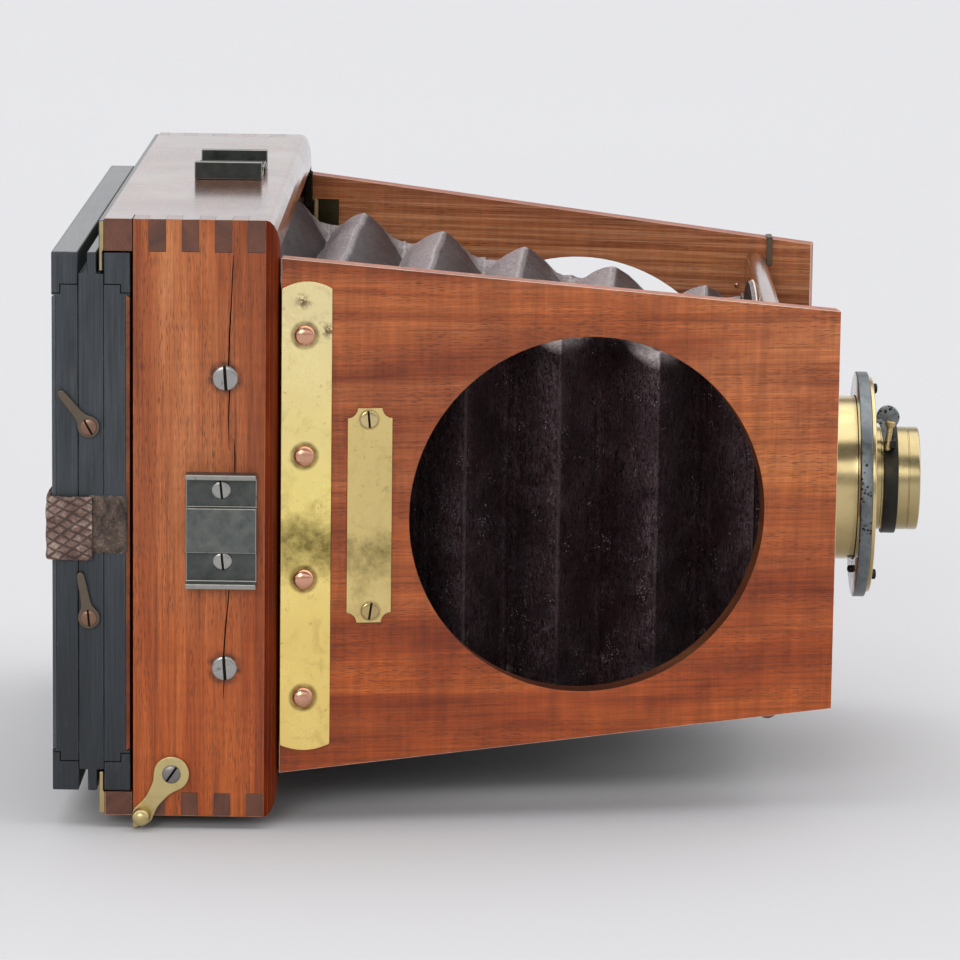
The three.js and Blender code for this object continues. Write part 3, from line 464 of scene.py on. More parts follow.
def fine_leather(name, colour, light, grain=1500, sheen=0.25):
    """Thin bookbinder's leather: fine pebbled grain, dry creases, a faint sheen."""
    s = Shader(name)
    cloud = s.noise((210, 210, 90), 6, 0.7, 1.5)
    pebbles = s.cells(grain)
    crease = s.noise((300, 300, 300), 6, 0.7, 1.2)
    base = s.ramp(cloud, (0.3, colour), (0.75, light))
    base = s.mix(s.ramp(pebbles, (0.2, 0.0), (0.6, 0.35)), base, toned(colour, 0.35))
    base = s.multiplied(base, s.ramp(s.noise(620, 6, 0.78, 0.8), (0.34, 0.35), (0.64, 1.9)))
    height = s.plus(s.times(pebbles, -0.7), s.times(crease, 0.8))
    return s.surface(
        Base_Color=base, Roughness=s.ramp(crease, (0.35, 0.34), (0.7, 0.55)), Specular_IOR_Level=0.35,
        Normal=s.bump(height, 0.2 * MM, 0.9), Sheen_Weight=sheen, Sheen_Roughness=0.5,
        Sheen_Tint=(0.75, 0.68, 0.72, 1))


def bellows_skin(name, crest_wear_and_highlight=0.0):
    """Black-aubergine leather: slanting wrinkles and a fine pebble, with painted light: a painted sheen on
    the fold panels that face the light, painted highlights on the wrinkles, painted glints, and dust with a
    painted sheen on what faces up and towards the light. The second argument wears the crests pale, with a
    painted highlight.
    """
    s = Shader(name)
    cloud = s.noise(60, 5, 0.6, 0.6)
    wrinkles = s.noise((620, 620, 170), 5, 0.66, 1.6)
    slanted = s.noise((420, 420, 700), 5, 0.7, 2.4, (3, 1, 2))
    pebbles = s.cells(820)
    base = s.ramp(cloud, (0.3, (0.004, 0.0003, 0.0006)), (0.55, (0.009, 0.0006, 0.0012)),
                  (0.8, (0.02, 0.003, 0.005)))
    facing = [s.node("ShaderNodeSeparateXYZ", out=axis,
                     inputs={0: s.node("ShaderNodeNewGeometry", out="Normal")}) for axis in "XZ"]
    # Painted highlights: pale lines along the wrinkle ridges stand in for the light they catch.
    wrinkle_highlights = s.math("MAXIMUM", s.ramp(wrinkles, (0.48, 0.0), (0.505, 1.0), (0.53, 0.0)),
                    s.ramp(slanted, (0.49, 0.0), (0.51, 0.8), (0.53, 0.0)))
    patchy = s.ramp(s.noise(75, 4, 0.6, 0.4, (1, 7, 3)), (0.38, 0.25), (0.62, 1.0))
    grain = s.noise(780, 6, 0.8)
    mottle = s.ramp(grain, (0.34, 0.08), (0.62, 1.0))
    # The fold attribute is painted light from the folds; with the patches it paints a sheen on the panels
    # that face the light.
    fold = s.node("ShaderNodeAttribute", out="Fac", attribute_name="fold")
    patches = s.ramp(s.noise(26, 4, 0.6, 0.8, (2, 2, 8)), (0.36, 0.3), (0.62, 1.0))
    painted_panel_sheen = s.times(s.times(fold, patches), s.ramp(grain, (0.42, 0.02), (0.6, 1.0)))
    base = s.mix(painted_panel_sheen, base, (0.13, 0.074, 0.09))
    wrinkle_highlights = s.times(wrinkle_highlights, s.times(patchy, s.plus(fold, 0.24)))
    base = s.mix(s.math("MINIMUM", wrinkle_highlights, 0.9), base, (0.33, 0.24, 0.26))
    # Painted glints: small pale spots.
    glints = s.times(s.ramp(s.cells(1150, (5, 2, 3)), (0.16, 1.0), (0.26, 0.0)),
                    s.ramp(s.noise(130, 4, 0.7, 0.5, (9, 1, 1)), (0.55, 0.0), (0.64, 0.9)))
    base = s.mix(glints, base, (0.42, 0.4, 0.41))
    # Dust with a painted sheen: pale on what faces up and towards the light from -X, speckled.
    lit_side = s.ramp(s.plus(s.times(facing[0], -0.5), 0.5), (0.38, 0.12), (0.55, 1.0))
    speckle = s.ramp(s.noise(950, 6, 0.75, 0.3, (4, 4, 1)), (0.36, 0.3), (0.48, 0.75), (0.6, 1.0))
    dust = s.times(s.times(s.ramp(facing[1], (0.3, 0.0), (0.8, 1.0)), lit_side), speckle)
    base = s.mix(dust, base, (0.62, 0.52, 0.525))
    # Worn crests with a painted highlight: a pale line along each top crest.
    crest = s.times(s.times(fold, s.ramp(facing[1], (0.3, 0.0), (0.7, 1.0))), speckle)
    base = s.mix(crest, base, (0.8, 0.74, 0.72))
    # On the crest faces: worn pale, with a painted highlight.
    if crest_wear_and_highlight:
        base = s.mix(s.times(mottle, crest_wear_and_highlight), base, s.mix(dust, (0.085, 0.06, 0.06), (0.56, 0.5, 0.49)))
    height = s.plus(s.times(wrinkles, 0.9), s.times(slanted, 0.8))
    height = s.minus(height, s.times(pebbles, 0.3))
    shine = s.ramp(wrinkles, (0.35, 0.22), (0.65, 0.45))
    return s.surface(
        Base_Color=base, Roughness=s.math("MAXIMUM", shine, s.times(dust, 0.7)), Specular_IOR_Level=0.13,
        Normal=s.bump(height, 1.6 * MM, 1.0))


def embossed_leather(name):
    """Brown leather stamped with slanting lines that cross in long diamonds."""
    s = Shader(name)
    x, z = s.axis("X"), s.axis("Z")
    grooves = []
    for slope, pitch in ((0.45, 2.7 * MM), (-0.8, 3.6 * MM)):
        line = s.plus(z, s.times(x, slope))
        line = s.plus(line, s.times(s.noise(160, 2), 1.2 * MM))
        saw = s.math("FRACT", s.math("DIVIDE", line, pitch))
        away = s.math("ABSOLUTE", s.minus(saw, 0.5))
        grooves.append(s.ramp(away, (0.0, 1.0), (0.09, 0.75), (0.16, 0.0)))
    groove = s.math("MAXIMUM", *grooves)
    cloud = s.noise(150, 5, 0.65, 0.4)
    pebbles = s.cells(1300)
    base = s.ramp(cloud, (0.3, (0.075, 0.038, 0.027)), (0.5, (0.17, 0.1, 0.078)),
                  (0.68, (0.38, 0.28, 0.23)))
    base = s.multiplied(base, s.ramp(s.noise(750, 6, 0.75), (0.32, 0.4), (0.66, 1.6)))
    base = s.mix(s.times(groove, 0.8), base, (0.03, 0.014, 0.011))
    height = s.minus(s.times(pebbles, -0.25), groove)
    return s.surface(Base_Color=base, Roughness=0.6, Specular_IOR_Level=0.4,
                     Normal=s.bump(height, 0.3 * MM, 0.9))


def clear_glass(name):
    """Pale green glass with a trace of dust."""
    s = Shader(name)
    dust = s.ramp(s.noise(1300, 4, 0.7), (0.62, 0.03), (0.8, 0.22))
    return s.surface(Base_Color=(0.86, 0.93, 0.9), Roughness=dust, Transmission_Weight=0.92, IOR=1.5)


def cream_card(name):
    """Aged cream card with a faint tooth."""
    s = Shader(name)
    return s.surface(Base_Color=s.ramp(s.noise(300, 4), (0.3, (0.62, 0.52, 0.4)), (0.7, (0.8, 0.73, 0.62))),
                     Roughness=0.85, Normal=s.bump(s.noise(1500, 4), 0.05 * MM))


def near_black(name):
    """A near-black, matt surface: dirt with a painted shade in slots, gaps and cracks, and black felt."""
    s = Shader(name)
    return s.surface(Base_Color=s.ramp(s.noise(900, 3), (0.35, (0.006, 0.005, 0.004)),
                                       (0.75, (0.03, 0.02, 0.012))), Roughness=0.9, Specular_IOR_Level=0.15)


def floor_paint(name):
    """The studio floor: an even pale grey."""
    s = Shader(name)
    tone = s.ramp(s.noise(0.8, 3), (0.3, (0.584, 0.584, 0.592)), (0.7, (0.592, 0.592, 0.6)))
    return s.surface(Base_Color=tone, Roughness=0.9, Specular_IOR_Level=0.1)


SIDE_SCREWS = {node: Vector((SIDE_SCREW_X * MM, NEAR_FACE, z * MM)) for node, z in SIDE_SCREW_Z.items()}
# The side board gets a painted shade ring round each side screw head, and pale scratches.
WOOD_SIDE = mahogany("mahogany_side", "Z", (0.3, 0.1, 0.7), gloss=0.34, figure=0.3,
                     screw_shade=list(SIDE_SCREWS.values()), scratched=[Vector((-7 * MM, NEAR_FACE, 62 * MM)),
                                                                  Vector((-9 * MM, NEAR_FACE, 88 * MM))])
WOOD_FAR_SIDE = mahogany("mahogany_far_side", "Z", (0.9, 2.1, 0.2), tone=0.95, gloss=0.32, figure=0.35)
WOOD_TOP = mahogany("mahogany_top", "Y", (1.3, 0.4, 0.2), tone=0.34, gloss=0.17, figure=0.1, coat=1.0,
                    low_shade=0)
WOOD_CHEEK = mahogany("mahogany_cheek", "X", (0.2, 0.8, 0.35), tone=0.98, gloss=0.32, figure=0.9,
                      turn=-CHEEK_TOE)
WOOD_FAR_CHEEK = mahogany("mahogany_far_cheek", "X", (2.2, 1.8, 0.15), tone=0.9, gloss=0.34, figure=0.7,
                          turn=CHEEK_TOE)
VARNISH = varnish_edge("dark_varnish_edge")
WOOD_INNER = {side: unpolished(side, turn) for side, turn in (("near", -CHEEK_TOE), ("far", CHEEK_TOE))}
WOOD_BOARD = mahogany("mahogany_lens_board", "Y", (1.9, 0.1, 0.6), tone=0.35, gloss=0.2, figure=0.2,
                      coat=1.0, low_shade=0)
# The window's rim: mahogany painted dark, a painted shade on the rim.
WINDOW_RIM_SHADED = mahogany("mahogany_window_edge_painted_shade", "X", (0.6, 0.2, 1.1), tone=0.3, gloss=0.6, figure=0.4, coat=0.0,
                    low_shade=0)
END_GRAIN = end_grain("mahogany_end_grain")
END_GRAIN_POLISHED = end_grain("mahogany_end_grain_polished", polish=1.0)
ARRIS = worn_arris_highlight("mahogany_worn_edge_painted_highlight")
PALE_ARRIS = worn_arris_highlight("mahogany_pale_edge_painted_highlight", 0.8)
BLACK_RAIL = ebonised("ebonised_rail", "Z", (0.4, 0.2, 0.1), worn=0.35)
BLACK_TOP = ebonised("ebonised_top", "Y", (0.7, 0.6, 0.9), worn=0.25, coat=0.8)
BLACK_WORN = ebonised("ebonised_worn_edge", "Y", (1.7, 0.3, 0.4), worn=0.9)
RIVETS = [on_cheek(RIVET_X, z * MM) for z in RIVET_Z]
PLATE_SCREWS = [on_cheek(x * MM, z * MM) for x, z in PLATE_SCREWS_XZ]
# The strip's brass has a painted reflection that makes it paler towards the top.
BRASS = metal("brass_sheet", (0.98, 0.79, 0.34), (0.26, 0.15, 0.06), brushed="Z",
              rings=(RIVETS + [mirrored(rivet) for rivet in RIVETS], 3.7 * MM, 4.9 * MM), stain=(1, 0.0815),
              painted_sheen=1.0, blots=[on_cheek(x * MM, z * MM) for x, z in ((32.3, 155.2), (39.8, 146.5))])
BRASS_PLATE = metal("brass_nameplate", (0.83, 0.64, 0.26), (0.26, 0.15, 0.06), (0.26, 0.44), 0.3, "Z",
                    stain=(0, 0.079), rings=(PLATE_SCREWS, 2.6 * MM, 3.6 * MM))
BRASS_LEVER = metal("brass_lever", (0.68, 0.55, 0.26), (0.3, 0.2, 0.09), (0.28, 0.46), 0.35)
BAND = metal("clamp_band", (0.035, 0.035, 0.032), (0.015, 0.013, 0.01), (0.4, 0.55), 0.5,
             tint=(0.1, 0.075, 0.03))
EAR_STEEL = pitted_steel("clamp_ear", (212.9 * MM, -9 * MM, 105 * MM), 1.1)
RUSTY = metal("rusty_hook", (0.15, 0.12, 0.09), (0.05, 0.03, 0.02), (0.35, 0.6), 0.6,
              tint=(0.2, 0.12, 0.075))
DULL_COPPER = metal("copper_dull", (0.26, 0.15, 0.105), (0.1, 0.055, 0.04), (0.3, 0.5), 0.5)
BRASS_DARK = metal("brass_blackened", (0.13, 0.11, 0.055), (0.02, 0.018, 0.01), (0.35, 0.5), 0.6)
# The turned brass and the barrel darken low down: a painted shade on their undersides.
BRASS_TURNED = metal("brass_turned", (0.69, 0.54, 0.27), (0.3, 0.19, 0.08), (0.14, 0.3), 0.3,
                     tint=(0.4, 0.3, 0.14), under=74 * MM)
BRASS_BARREL = metal("brass_barrel", (0.55, 0.44, 0.225), (0.2, 0.15, 0.07), (0.16, 0.34), 0.4,
                     tint=(0.3, 0.25, 0.13), under=80 * MM)
BRASS_OLD = metal("brass_tarnished", (0.52, 0.4, 0.2), (0.14, 0.1, 0.05), (0.3, 0.5), 0.4)
EMBOSSED = embossed_leather("tab_leather_embossed")
WOOD_SHUTTER = mahogany("mahogany_shutter", "Y", (0.2, 1.4, 2.1), tone=0.5, gloss=0.4, coat=0.2)
STEEL_DARK = metal("steel_tarnished", (0.26, 0.25, 0.24), (0.08, 0.07, 0.06), (0.3, 0.5), 0.5)
FELT = near_black("black_felt")
COPPER = metal("copper_rivet", (0.72, 0.38, 0.25), (0.2, 0.08, 0.05), (0.2, 0.38), 0.6,
               tint=(0.4, 0.19, 0.12))
STEEL = metal("steel_screw", (0.42, 0.41, 0.39), (0.07, 0.06, 0.055), (0.2, 0.36), 0.7,
              tint=(0.2, 0.17, 0.14))
FILED = metal("steel_filed_edge", (0.36, 0.35, 0.32), (0.06, 0.06, 0.055), (0.3, 0.45), 0.8,
              tint=(0.12, 0.11, 0.1))
DISC_STEEL = pitted_steel("steel_pitted", (205 * MM, -35.7 * MM, 84 * MM))
# The disc's rear face: pitted steel painted 2.4 times paler, a painted reflection of the bright background
# behind the lens, and smoother.
DISC_BACK = pitted_steel("steel_back_painted_reflection", (203.1 * MM, 0, 52 * MM), 2.4, (0.1, 0.2))
GUNMETAL = blackened("gunmetal")
GUNMETAL_TOP = blackened("gunmetal_darker", 0.42)
GUNMETAL_SIDE = blackened("gunmetal_flange", 0.7)
BELLOWS_LEATHER = bellows_skin("bellows_leather")
# Crest faces: worn pale, with a painted highlight.
CREST_LEATHER = bellows_skin("bellows_leather_worn_painted_highlight", 0.8)
TAB_LEATHER = fine_leather("tab_leather", (0.018, 0.009, 0.006), (0.17, 0.115, 0.085), 1100, 0.1)
GLASS = clear_glass("lens_glass")
# Dirt with a painted shade, for screw slots, cracks and joint lines.
SHADOW = near_black("dirt_and_shade_in_gaps")
CARD = cream_card("cream_card")


# ---- mesh tools ----
SMOOTH_BELOW = 32
BEVEL_ABOVE = 28
FLAT_WITHIN = 0.6
WELD = 2e-6
ON_AXIS = 1e-7


def mm(points):
    """Pairs in millimetres, as pairs in metres."""
    return [(a * MM, b * MM) for a, b in points]


def new_object(name, mesh):
    """A mesh as an object in the scene."""
    obj = bpy.data.objects.new(name, mesh)
    bpy.context.scene.collection.objects.link(obj)
    return obj


def built(name, bm, materials, angle=None):
    """The object that a bmesh makes, shaded smooth below the angle if there is one."""
    mesh = bpy.data.meshes.new(name)
    bm.to_mesh(mesh)
    bm.free()
    for material in materials:
        mesh.materials.append(material)
    if angle:
        smooth(mesh, angle)
    return new_object(name, mesh)


def smooth(mesh, angle=SMOOTH_BELOW):
    """Smooth shading, kept sharp where faces meet at more than angle."""
    mesh.polygons.foreach_set("use_smooth", [True] * len(mesh.polygons))
    mesh.set_sharp_from_angle(angle=math.radians(angle))


def applied(obj):
    """Applies the object's modifiers."""
    depsgraph = bpy.context.evaluated_depsgraph_get()
    mesh = bpy.data.meshes.new_from_object(obj.evaluated_get(depsgraph), depsgraph=depsgraph)
    obj.modifiers.clear()
    obj.data = mesh
    return obj


def settled(obj):
    """Smooth shading whose normals follow the large faces: only the rounded edges bend the light."""
    smooth(obj.data)
    modifier = obj.modifiers.new("normals", "WEIGHTED_NORMAL")
    modifier.mode = "FACE_AREA"
    modifier.weight = 100
    modifier.keep_sharp = True
    return applied(obj)


def cut(obj, *cutters):
    """Takes each cutter's shape out of obj, and removes the cutters."""
    for cutter in cutters:
        modifier = obj.modifiers.new("cut", "BOOLEAN")
        modifier.operation = "DIFFERENCE"
        modifier.solver = "EXACT"
        modifier.material_mode = "TRANSFER"
        modifier.object = cutter
        applied(obj)
        bpy.data.objects.remove(cutter)
    return settled(obj)


def piece(obj, body, slot, *replaced):
    """Puts the piece on the body that it rides on and hides the CAD nodes that it stands for; slot is not
    used.
    """
    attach(obj, body)
    if replaced:
        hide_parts(*replaced)
    return obj


def carried(node, material, bevel=0.3 * MM, edge=None, faces=None, weight=None, segments=3, cutters=()):
    """A CAD node with its edges rounded. edge is their material, and cutters are cut out at the end.

    faces(normal, centre) gives a face's own material or None, weight(a, b) an edge's share of the bevel.
    """
    obj = new_object(node + "_finished", frame["nodes"][node].data.copy())
    mesh = obj.data
    mesh.materials.clear()
    materials = [material]
    bm = bmesh.new()
    bm.from_mesh(mesh)
    bmesh.ops.remove_doubles(bm, verts=bm.verts, dist=WELD)
    bmesh.ops.dissolve_limit(bm, angle_limit=math.radians(FLAT_WITHIN), verts=bm.verts, edges=bm.edges)
    bmesh.ops.recalc_face_normals(bm, faces=bm.faces)
    for face in bm.faces:
        own = faces(face.normal, face.calc_center_median()) if faces else None
        if own and own not in materials:
            materials.append(own)
        face.material_index = materials.index(own) if own else 0
    if weight:
        layer = bm.edges.layers.float.new("bevel_weight_edge")
        for e in bm.edges:
            e[layer] = weight(e.verts[0].co, e.verts[1].co)
    bm.to_mesh(mesh)
    bm.free()
    if edge and edge not in materials:
        materials.append(edge)
    for entry in materials:
        mesh.materials.append(entry)
    if bevel:
        modifier = obj.modifiers.new("bevel", "BEVEL")
        modifier.width = bevel
        modifier.segments = segments
        modifier.limit_method = "WEIGHT" if weight else "ANGLE"
        modifier.angle_limit = math.radians(BEVEL_ABOVE)
        modifier.miter_outer = "MITER_ARC"
        if edge:
            modifier.material = materials.index(edge)
        applied(obj)
    cut(obj, *cutters)
    return piece(obj, BODY_OF[node], SLOT_OF[node], node)


def turn_to(direction):
    """The rotation that takes +Z to direction."""
    return Z.rotation_difference(direction).to_matrix().to_4x4()


def lathe(name, profile, at, direction, material, segments=96):
    """A turned solid. profile is a closed or axis-to-axis list of (radius, height) in metres."""
    bm = bmesh.new()
    closed = profile[0] == profile[-1]
    points = profile[:-1] if closed else profile
    rings = []
    for radius, height in points:
        if radius < ON_AXIS:
            rings.append([bm.verts.new((0, 0, height))])
            continue
        rings.append([bm.verts.new((radius * math.cos(a), radius * math.sin(a), height))
                      for a in (2 * math.pi * i / segments for i in range(segments))])
    pairs = list(zip(rings, rings[1:])) + ([(rings[-1], rings[0])] if closed else [])
    for low, high in pairs:
        for i in range(segments):
            j = (i + 1) % segments
            corners = [low[i % len(low)], low[j % len(low)], high[j % len(high)], high[i % len(high)]]
            face = list(dict.fromkeys(corners))
            if len(face) > 2:
                bm.faces.new(face)
    bmesh.ops.recalc_face_normals(bm, faces=bm.faces)
    bm.transform(Matrix.Translation(at) @ turn_to(direction))
    return built(name, bm, [material], SMOOTH_BELOW)


def slab(name, size, at, material):
    """A plain block, its size along X, Y and Z."""
    bm = bmesh.new()
    bmesh.ops.create_cube(bm, size=1.0)
    bm.transform(Matrix.Translation(at) @ Matrix.Diagonal((*size, 1)))
    return built(name, bm, [material])


def rectangle(half_a, half_b):
    """The corners of a rectangle round the origin."""
    return [(-half_a, -half_b), (half_a, -half_b), (half_a, half_b), (-half_a, half_b)]


def slotted_screw(name, radius, at, direction, spin, material, height=0.7 * MM, dome=0.5 * MM,
                  sunk=0.4 * MM):
    """A wood screw's head: a shallow dome with a sawn slot, its underside sunk in what it holds."""
    top = [(radius * math.cos(a) ** 0.9, height + dome * math.sin(a))
           for a in (math.pi / 2 * i / 6 for i in range(6))]
    profile = [(0, -sunk), (radius * 0.96, -sunk), (radius, height * 0.5), *top, (0, height + dome)]
    screw = lathe(name, profile, at, direction, material, 48)
    depth = height + dome
    across = Matrix.Rotation(spin, 3, direction) @ (X if abs(direction.x) < 0.9 else Y)
    upward = direction.cross(across).normalized()
    slot = prism("slot", rectangle(radius * 0.13, radius * 1.2), at, across, upward, depth * 0.3, depth,
                 SHADOW)
    return cut(screw, slot)


def prism(name, outline, origin, across, up, start, depth, material):
    """A flat outline (a, b) pushed depth metres along across x up, from start metres along it."""
    out = across.cross(up)
    bm = bmesh.new()
    low = [bm.verts.new(origin + across * a + up * b + out * start) for a, b in outline]
    high = [bm.verts.new(v.co + out * depth) for v in low]
    bm.faces.new(list(reversed(low)))
    bm.faces.new(high)
    count = len(low)
    for i in range(count):
        j = (i + 1) % count
        bm.faces.new((low[i], low[j], high[j], high[i]))
    bmesh.ops.recalc_face_normals(bm, faces=bm.faces)
    return built(name, bm, [material], SMOOTH_BELOW)


def ribbon(points, widths):
    """The outline of a line with a width at each point."""
    left, right = [], []
    for i, point in enumerate(points):
        before = Vector(points[max(i - 1, 0)])
        after = Vector(points[min(i + 1, len(points) - 1)])
        into = (Vector(point) - before).normalized() if i else (after - Vector(point)).normalized()
        onward = (after - Vector(point)).normalized() if i < len(points) - 1 else into
        side_in = Vector((-into.y, into.x))
        side_on = Vector((-onward.y, onward.x))
        mitre = (side_in + side_on).normalized()
        reach = widths[i] / 2 / max(0.5, mitre.dot(side_in))
        left.append(Vector(point) + mitre * reach)
        right.append(Vector(point) - mitre * reach)
    return [tuple(v) for v in right + left[::-1]]


def curve_through(points, steps=8):
    """A smooth closed line through the points."""
    count = len(points)
    line = []
    for i in range(count):
        a, b, c, d = (Vector(points[(i + k) % count]) for k in (-1, 0, 1, 2))
        for k in range(steps):
            t = k / steps
            line.append(tuple(0.5 * (2 * b + (c - a) * t + (2 * a - 5 * b + 4 * c - d) * t * t
                                     + (3 * b - a - 3 * c + d) * t ** 3)))
    return line


def bevelled(obj, width, segments=3, angle=BEVEL_ABOVE):
    """The object with its edges rounded where faces meet at more than the angle, in degrees."""
    modifier = obj.modifiers.new("bevel", "BEVEL")
    modifier.width = width
    modifier.segments = segments
    modifier.limit_method = "ANGLE"
    modifier.angle_limit = math.radians(angle)
    return settled(applied(obj))


# ---- the box ----
HAIRLINE = 0.12


def on_outer_edge(point):
    """How many of the box's outer faces the point lies on."""
    near = 0.02 * MM
    return sum((abs(abs(point.y) - abs(NEAR_FACE)) < near, abs(point.z - BOX_HIGH.z) < near,
                abs(point.z) < near, abs(point.x - BOX_LOW.x) < near))


def box_edge(a, b):
    """Wide rounding on the box's outside corners, and a hair's breadth along the finger joints."""
    run = a - b
    along_an_axis = abs(run.x) + abs(run.y) + abs(run.z) < run.length * 1.01
    outside = all(on_outer_edge(point) > 1 for point in (a, b, (a + b) / 2))
    return 1.0 if along_an_axis and outside else HAIRLINE


def end_faces(axis):
    """End grain on a board's ends, and thick varnish on the rounded front edge's side."""
    def choose(normal, centre):
        if abs(normal[axis]) > 0.95:
            return END_GRAIN_POLISHED if axis == 2 else END_GRAIN
        rounded = centre.x > 21.9 * MM and abs(normal.x) > 0.12
        return VARNISH if rounded and abs(normal.y) > abs(normal.z) else None
    return choose


def lip_faces(normal, centre):
    """The lip's top is blackened."""
    return BLACK_TOP if normal.z > 0.7 else None


def shoe_faces(normal, centre):
    """Filed ends and dark flanges on the side shoe's outward faces."""
    away = abs(centre.z - shoe_middle)
    if normal.y >= -0.5 or away <= 8 * MM:
        return None
    return FILED if away > shoe_half - 1.6 * MM else GUNMETAL_SIDE


carried("top_board", WOOD_TOP, 0.6 * MM, ARRIS, end_faces(1), box_edge)
carried("bottom_board", WOOD_TOP, 0.6 * MM, ARRIS, end_faces(1), box_edge)
near_board = carried("near_side_board", WOOD_SIDE, 0.6 * MM, ARRIS, end_faces(2), box_edge)
carried("far_side_board", WOOD_FAR_SIDE, 0.6 * MM, ARRIS, end_faces(2), box_edge)
carried("bellows_rear_frame", WOOD_INNER["far"], 0.3 * MM)
carried("upper_holder_lip", BRASS_OLD, 0.25 * MM, BLACK_WORN, lip_faces)
carried("lower_holder_lip", BRASS_OLD, 0.25 * MM)
carried("tripod_bush", BRASS_OLD, 0.2 * MM)
carried("top_shoe", GUNMETAL_TOP, 0.25 * MM, FILED)
shoe_z = [v.co.z for v in frame["nodes"]["side_shoe"].data.vertices]
shoe_middle, shoe_half = (min(shoe_z) + max(shoe_z)) / 2, (max(shoe_z) - min(shoe_z)) / 2
carried("side_shoe", GUNMETAL, 0.3 * MM, FILED, shoe_faces)


def shrinkage_crack(board):
    """A split down the near side board, open by up to 0.45 mm."""
    upper = [(12.3, 169.6), (12.1, 165), (11.7, 155), (11.2, 146), (11.0, 137), (11.3, 130), (11.0, 121),
             (11.2, 111.5)]
    lower = [(12.6, 115), (12.9, 110), (12.9, 103)]
    last = [(11.6, 74), (11.1, 66), (10.3, 58), (9.8, 50), (10.0, 43), (9.6, 35.8)]
    widths = ([0.12, 0.3, 0.34, 0.45, 0.42, 0.4, 0.35, 0.15], [0.14, 0.4, 0.3],
              [0.3, 0.34, 0.4, 0.42, 0.36, 0.12])
    face = Vector((0, NEAR_FACE, 0))
    splits = [prism("split", ribbon(mm(line), [w * MM for w in width]), face, X, Z, -1.8 * MM,
                    2.2 * MM, SHADOW) for line, width in zip((upper, lower, last), widths)]
    cut(board, *splits)


shrinkage_crack(near_board)
for place, foot in SIDE_SCREWS.items():
    node = place + "_side_screw"
    screw = slotted_screw(node + "_head", 3.65 * MM, foot, -Y, math.radians(4), STEEL, 0.2 * MM, 0.45 * MM,
                          1.5 * MM)
    piece(screw, "box", "steel", node)
for name, at, out in (("side_shoe_upper_screw", (9.0, -112.4, 99.8), -Y),
                      ("side_shoe_lower_screw", (9.4, -112.4, 78.3), -Y),
                      ("top_shoe_near_screw", (4.9, -9.5, 181.3), Z),
                      ("top_shoe_far_screw", (5.1, 12.8, 181.3), Z)):
    screw = slotted_screw(name, 2.8 * MM, Vector(at) * MM, out, math.radians(6), STEEL, 0.25 * MM, 0.5 * MM,
                          0.3 * MM)
    piece(screw, "box", "steel")
for side in ("near", "far"):
    carried(side + "_hinge", BRASS_OLD, 0)
    carried(side + "_hinge_leaf", BRASS_DARK, 0)


# ---- the cheeks ----
def outer_strip(side):
    """The brass strip that the hinge's rivets pass through: arched ends, softened edges."""
    x0, x1, low, high, arch = 26.15, 41.0, 21.2, 159.0, 1.8
    steps = [k / 16 for k in range(17)]
    reach = (x1 - x0) / TO_FRONT.x
    line = [(reach * t, low - arch * math.sin(math.pi * t) ** 0.8) for t in steps]
    line += [(reach * (1 - t), high + 1.25 * arch * math.sin(math.pi * t) ** 0.8) for t in steps]
    strip = prism(side + "_outer_strip_finished", mm(line), on_cheek(x0 * MM, 0, 0.08 * MM),
                  TO_FRONT, Z, 0, 0.87 * MM, BRASS)
    if side == "far":
        strip.data.transform(Matrix.Scale(-1, 4, Y))
        strip.data.flip_normals()
    bevelled(strip, 0.16 * MM)
    piece(strip, side + "_side", "brass", side + "_outer_strip")


def in_window(point):
    """Whether a point of a cheek belongs to the rim of its round window."""
    return math.hypot(point.x - WINDOW_CENTRE.x, point.z - WINDOW_CENTRE.z) < WINDOW_R + 3 * MM


def cheek_faces(inner, out):
    """Unpolished wood on the inside, and round the window cut wood painted dark, a painted shade on the
    rim.
    """
    def choose(normal, centre):
        if normal.dot(out) < -0.9:
            return inner
        return WINDOW_RIM_SHADED if abs(normal.dot(out)) < 0.3 and in_window(centre) else None
    return choose


for side, wood in (("near", WOOD_CHEEK), ("far", WOOD_FAR_CHEEK)):
    out = OUTWARD if side == "near" else mirrored(OUTWARD)
    cheek = carried(side + "_cheek", wood, 0.75 * MM, PALE_ARRIS, cheek_faces(WOOD_INNER[side], out))
    slots = list(cheek.data.materials)
    for polygon in cheek.data.polygons:
        if slots[polygon.material_index] == PALE_ARRIS and in_window(polygon.center):
            polygon.material_index = slots.index(WINDOW_RIM_SHADED)
    flip = mirrored if side == "far" else Vector
    outer_strip(side)
    for i, z in enumerate(RIVET_Z, 1):
        dome = [(3.2 * math.cos(a), 0.9 + 1.7 * math.sin(a))
                for a in (math.pi / 2 * k / 7 for k in range(8))]
        profile = [(0, -8.5), (1.9, -8.5), (2.2, -8.1), (1.4, -8.1), (1.4, 0.7), (2.9, 0.7), (3.2, 0.9),
                   *dome[1:-1], (0, 2.6)]
        rivet = lathe(f"{side}_rivet_{i}_head", mm(profile),
                      flip(on_cheek(RIVET_X, z * MM)), out, COPPER, 48)
        piece(rivet, side + "_side", "copper", f"{side}_rivet_{i}")
carried("nameplate", BRASS_PLATE, 0.12 * MM)
for place, (x, z), spin in (("upper", PLATE_SCREWS_XZ[0], 0.1), ("lower", PLATE_SCREWS_XZ[1], -0.15)):
    foot = on_cheek(x * MM, z * MM, 0.9 * MM)
    screw = slotted_screw(f"nameplate_{place}_screw", 2.6 * MM, foot, OUTWARD, spin, BRASS_TURNED,
                          0.12 * MM, 0.3 * MM, 0.3 * MM)
    piece(screw, "near_side", "brass")
catch = [v.co for v in frame["nodes"]["board_catch"].data.vertices]
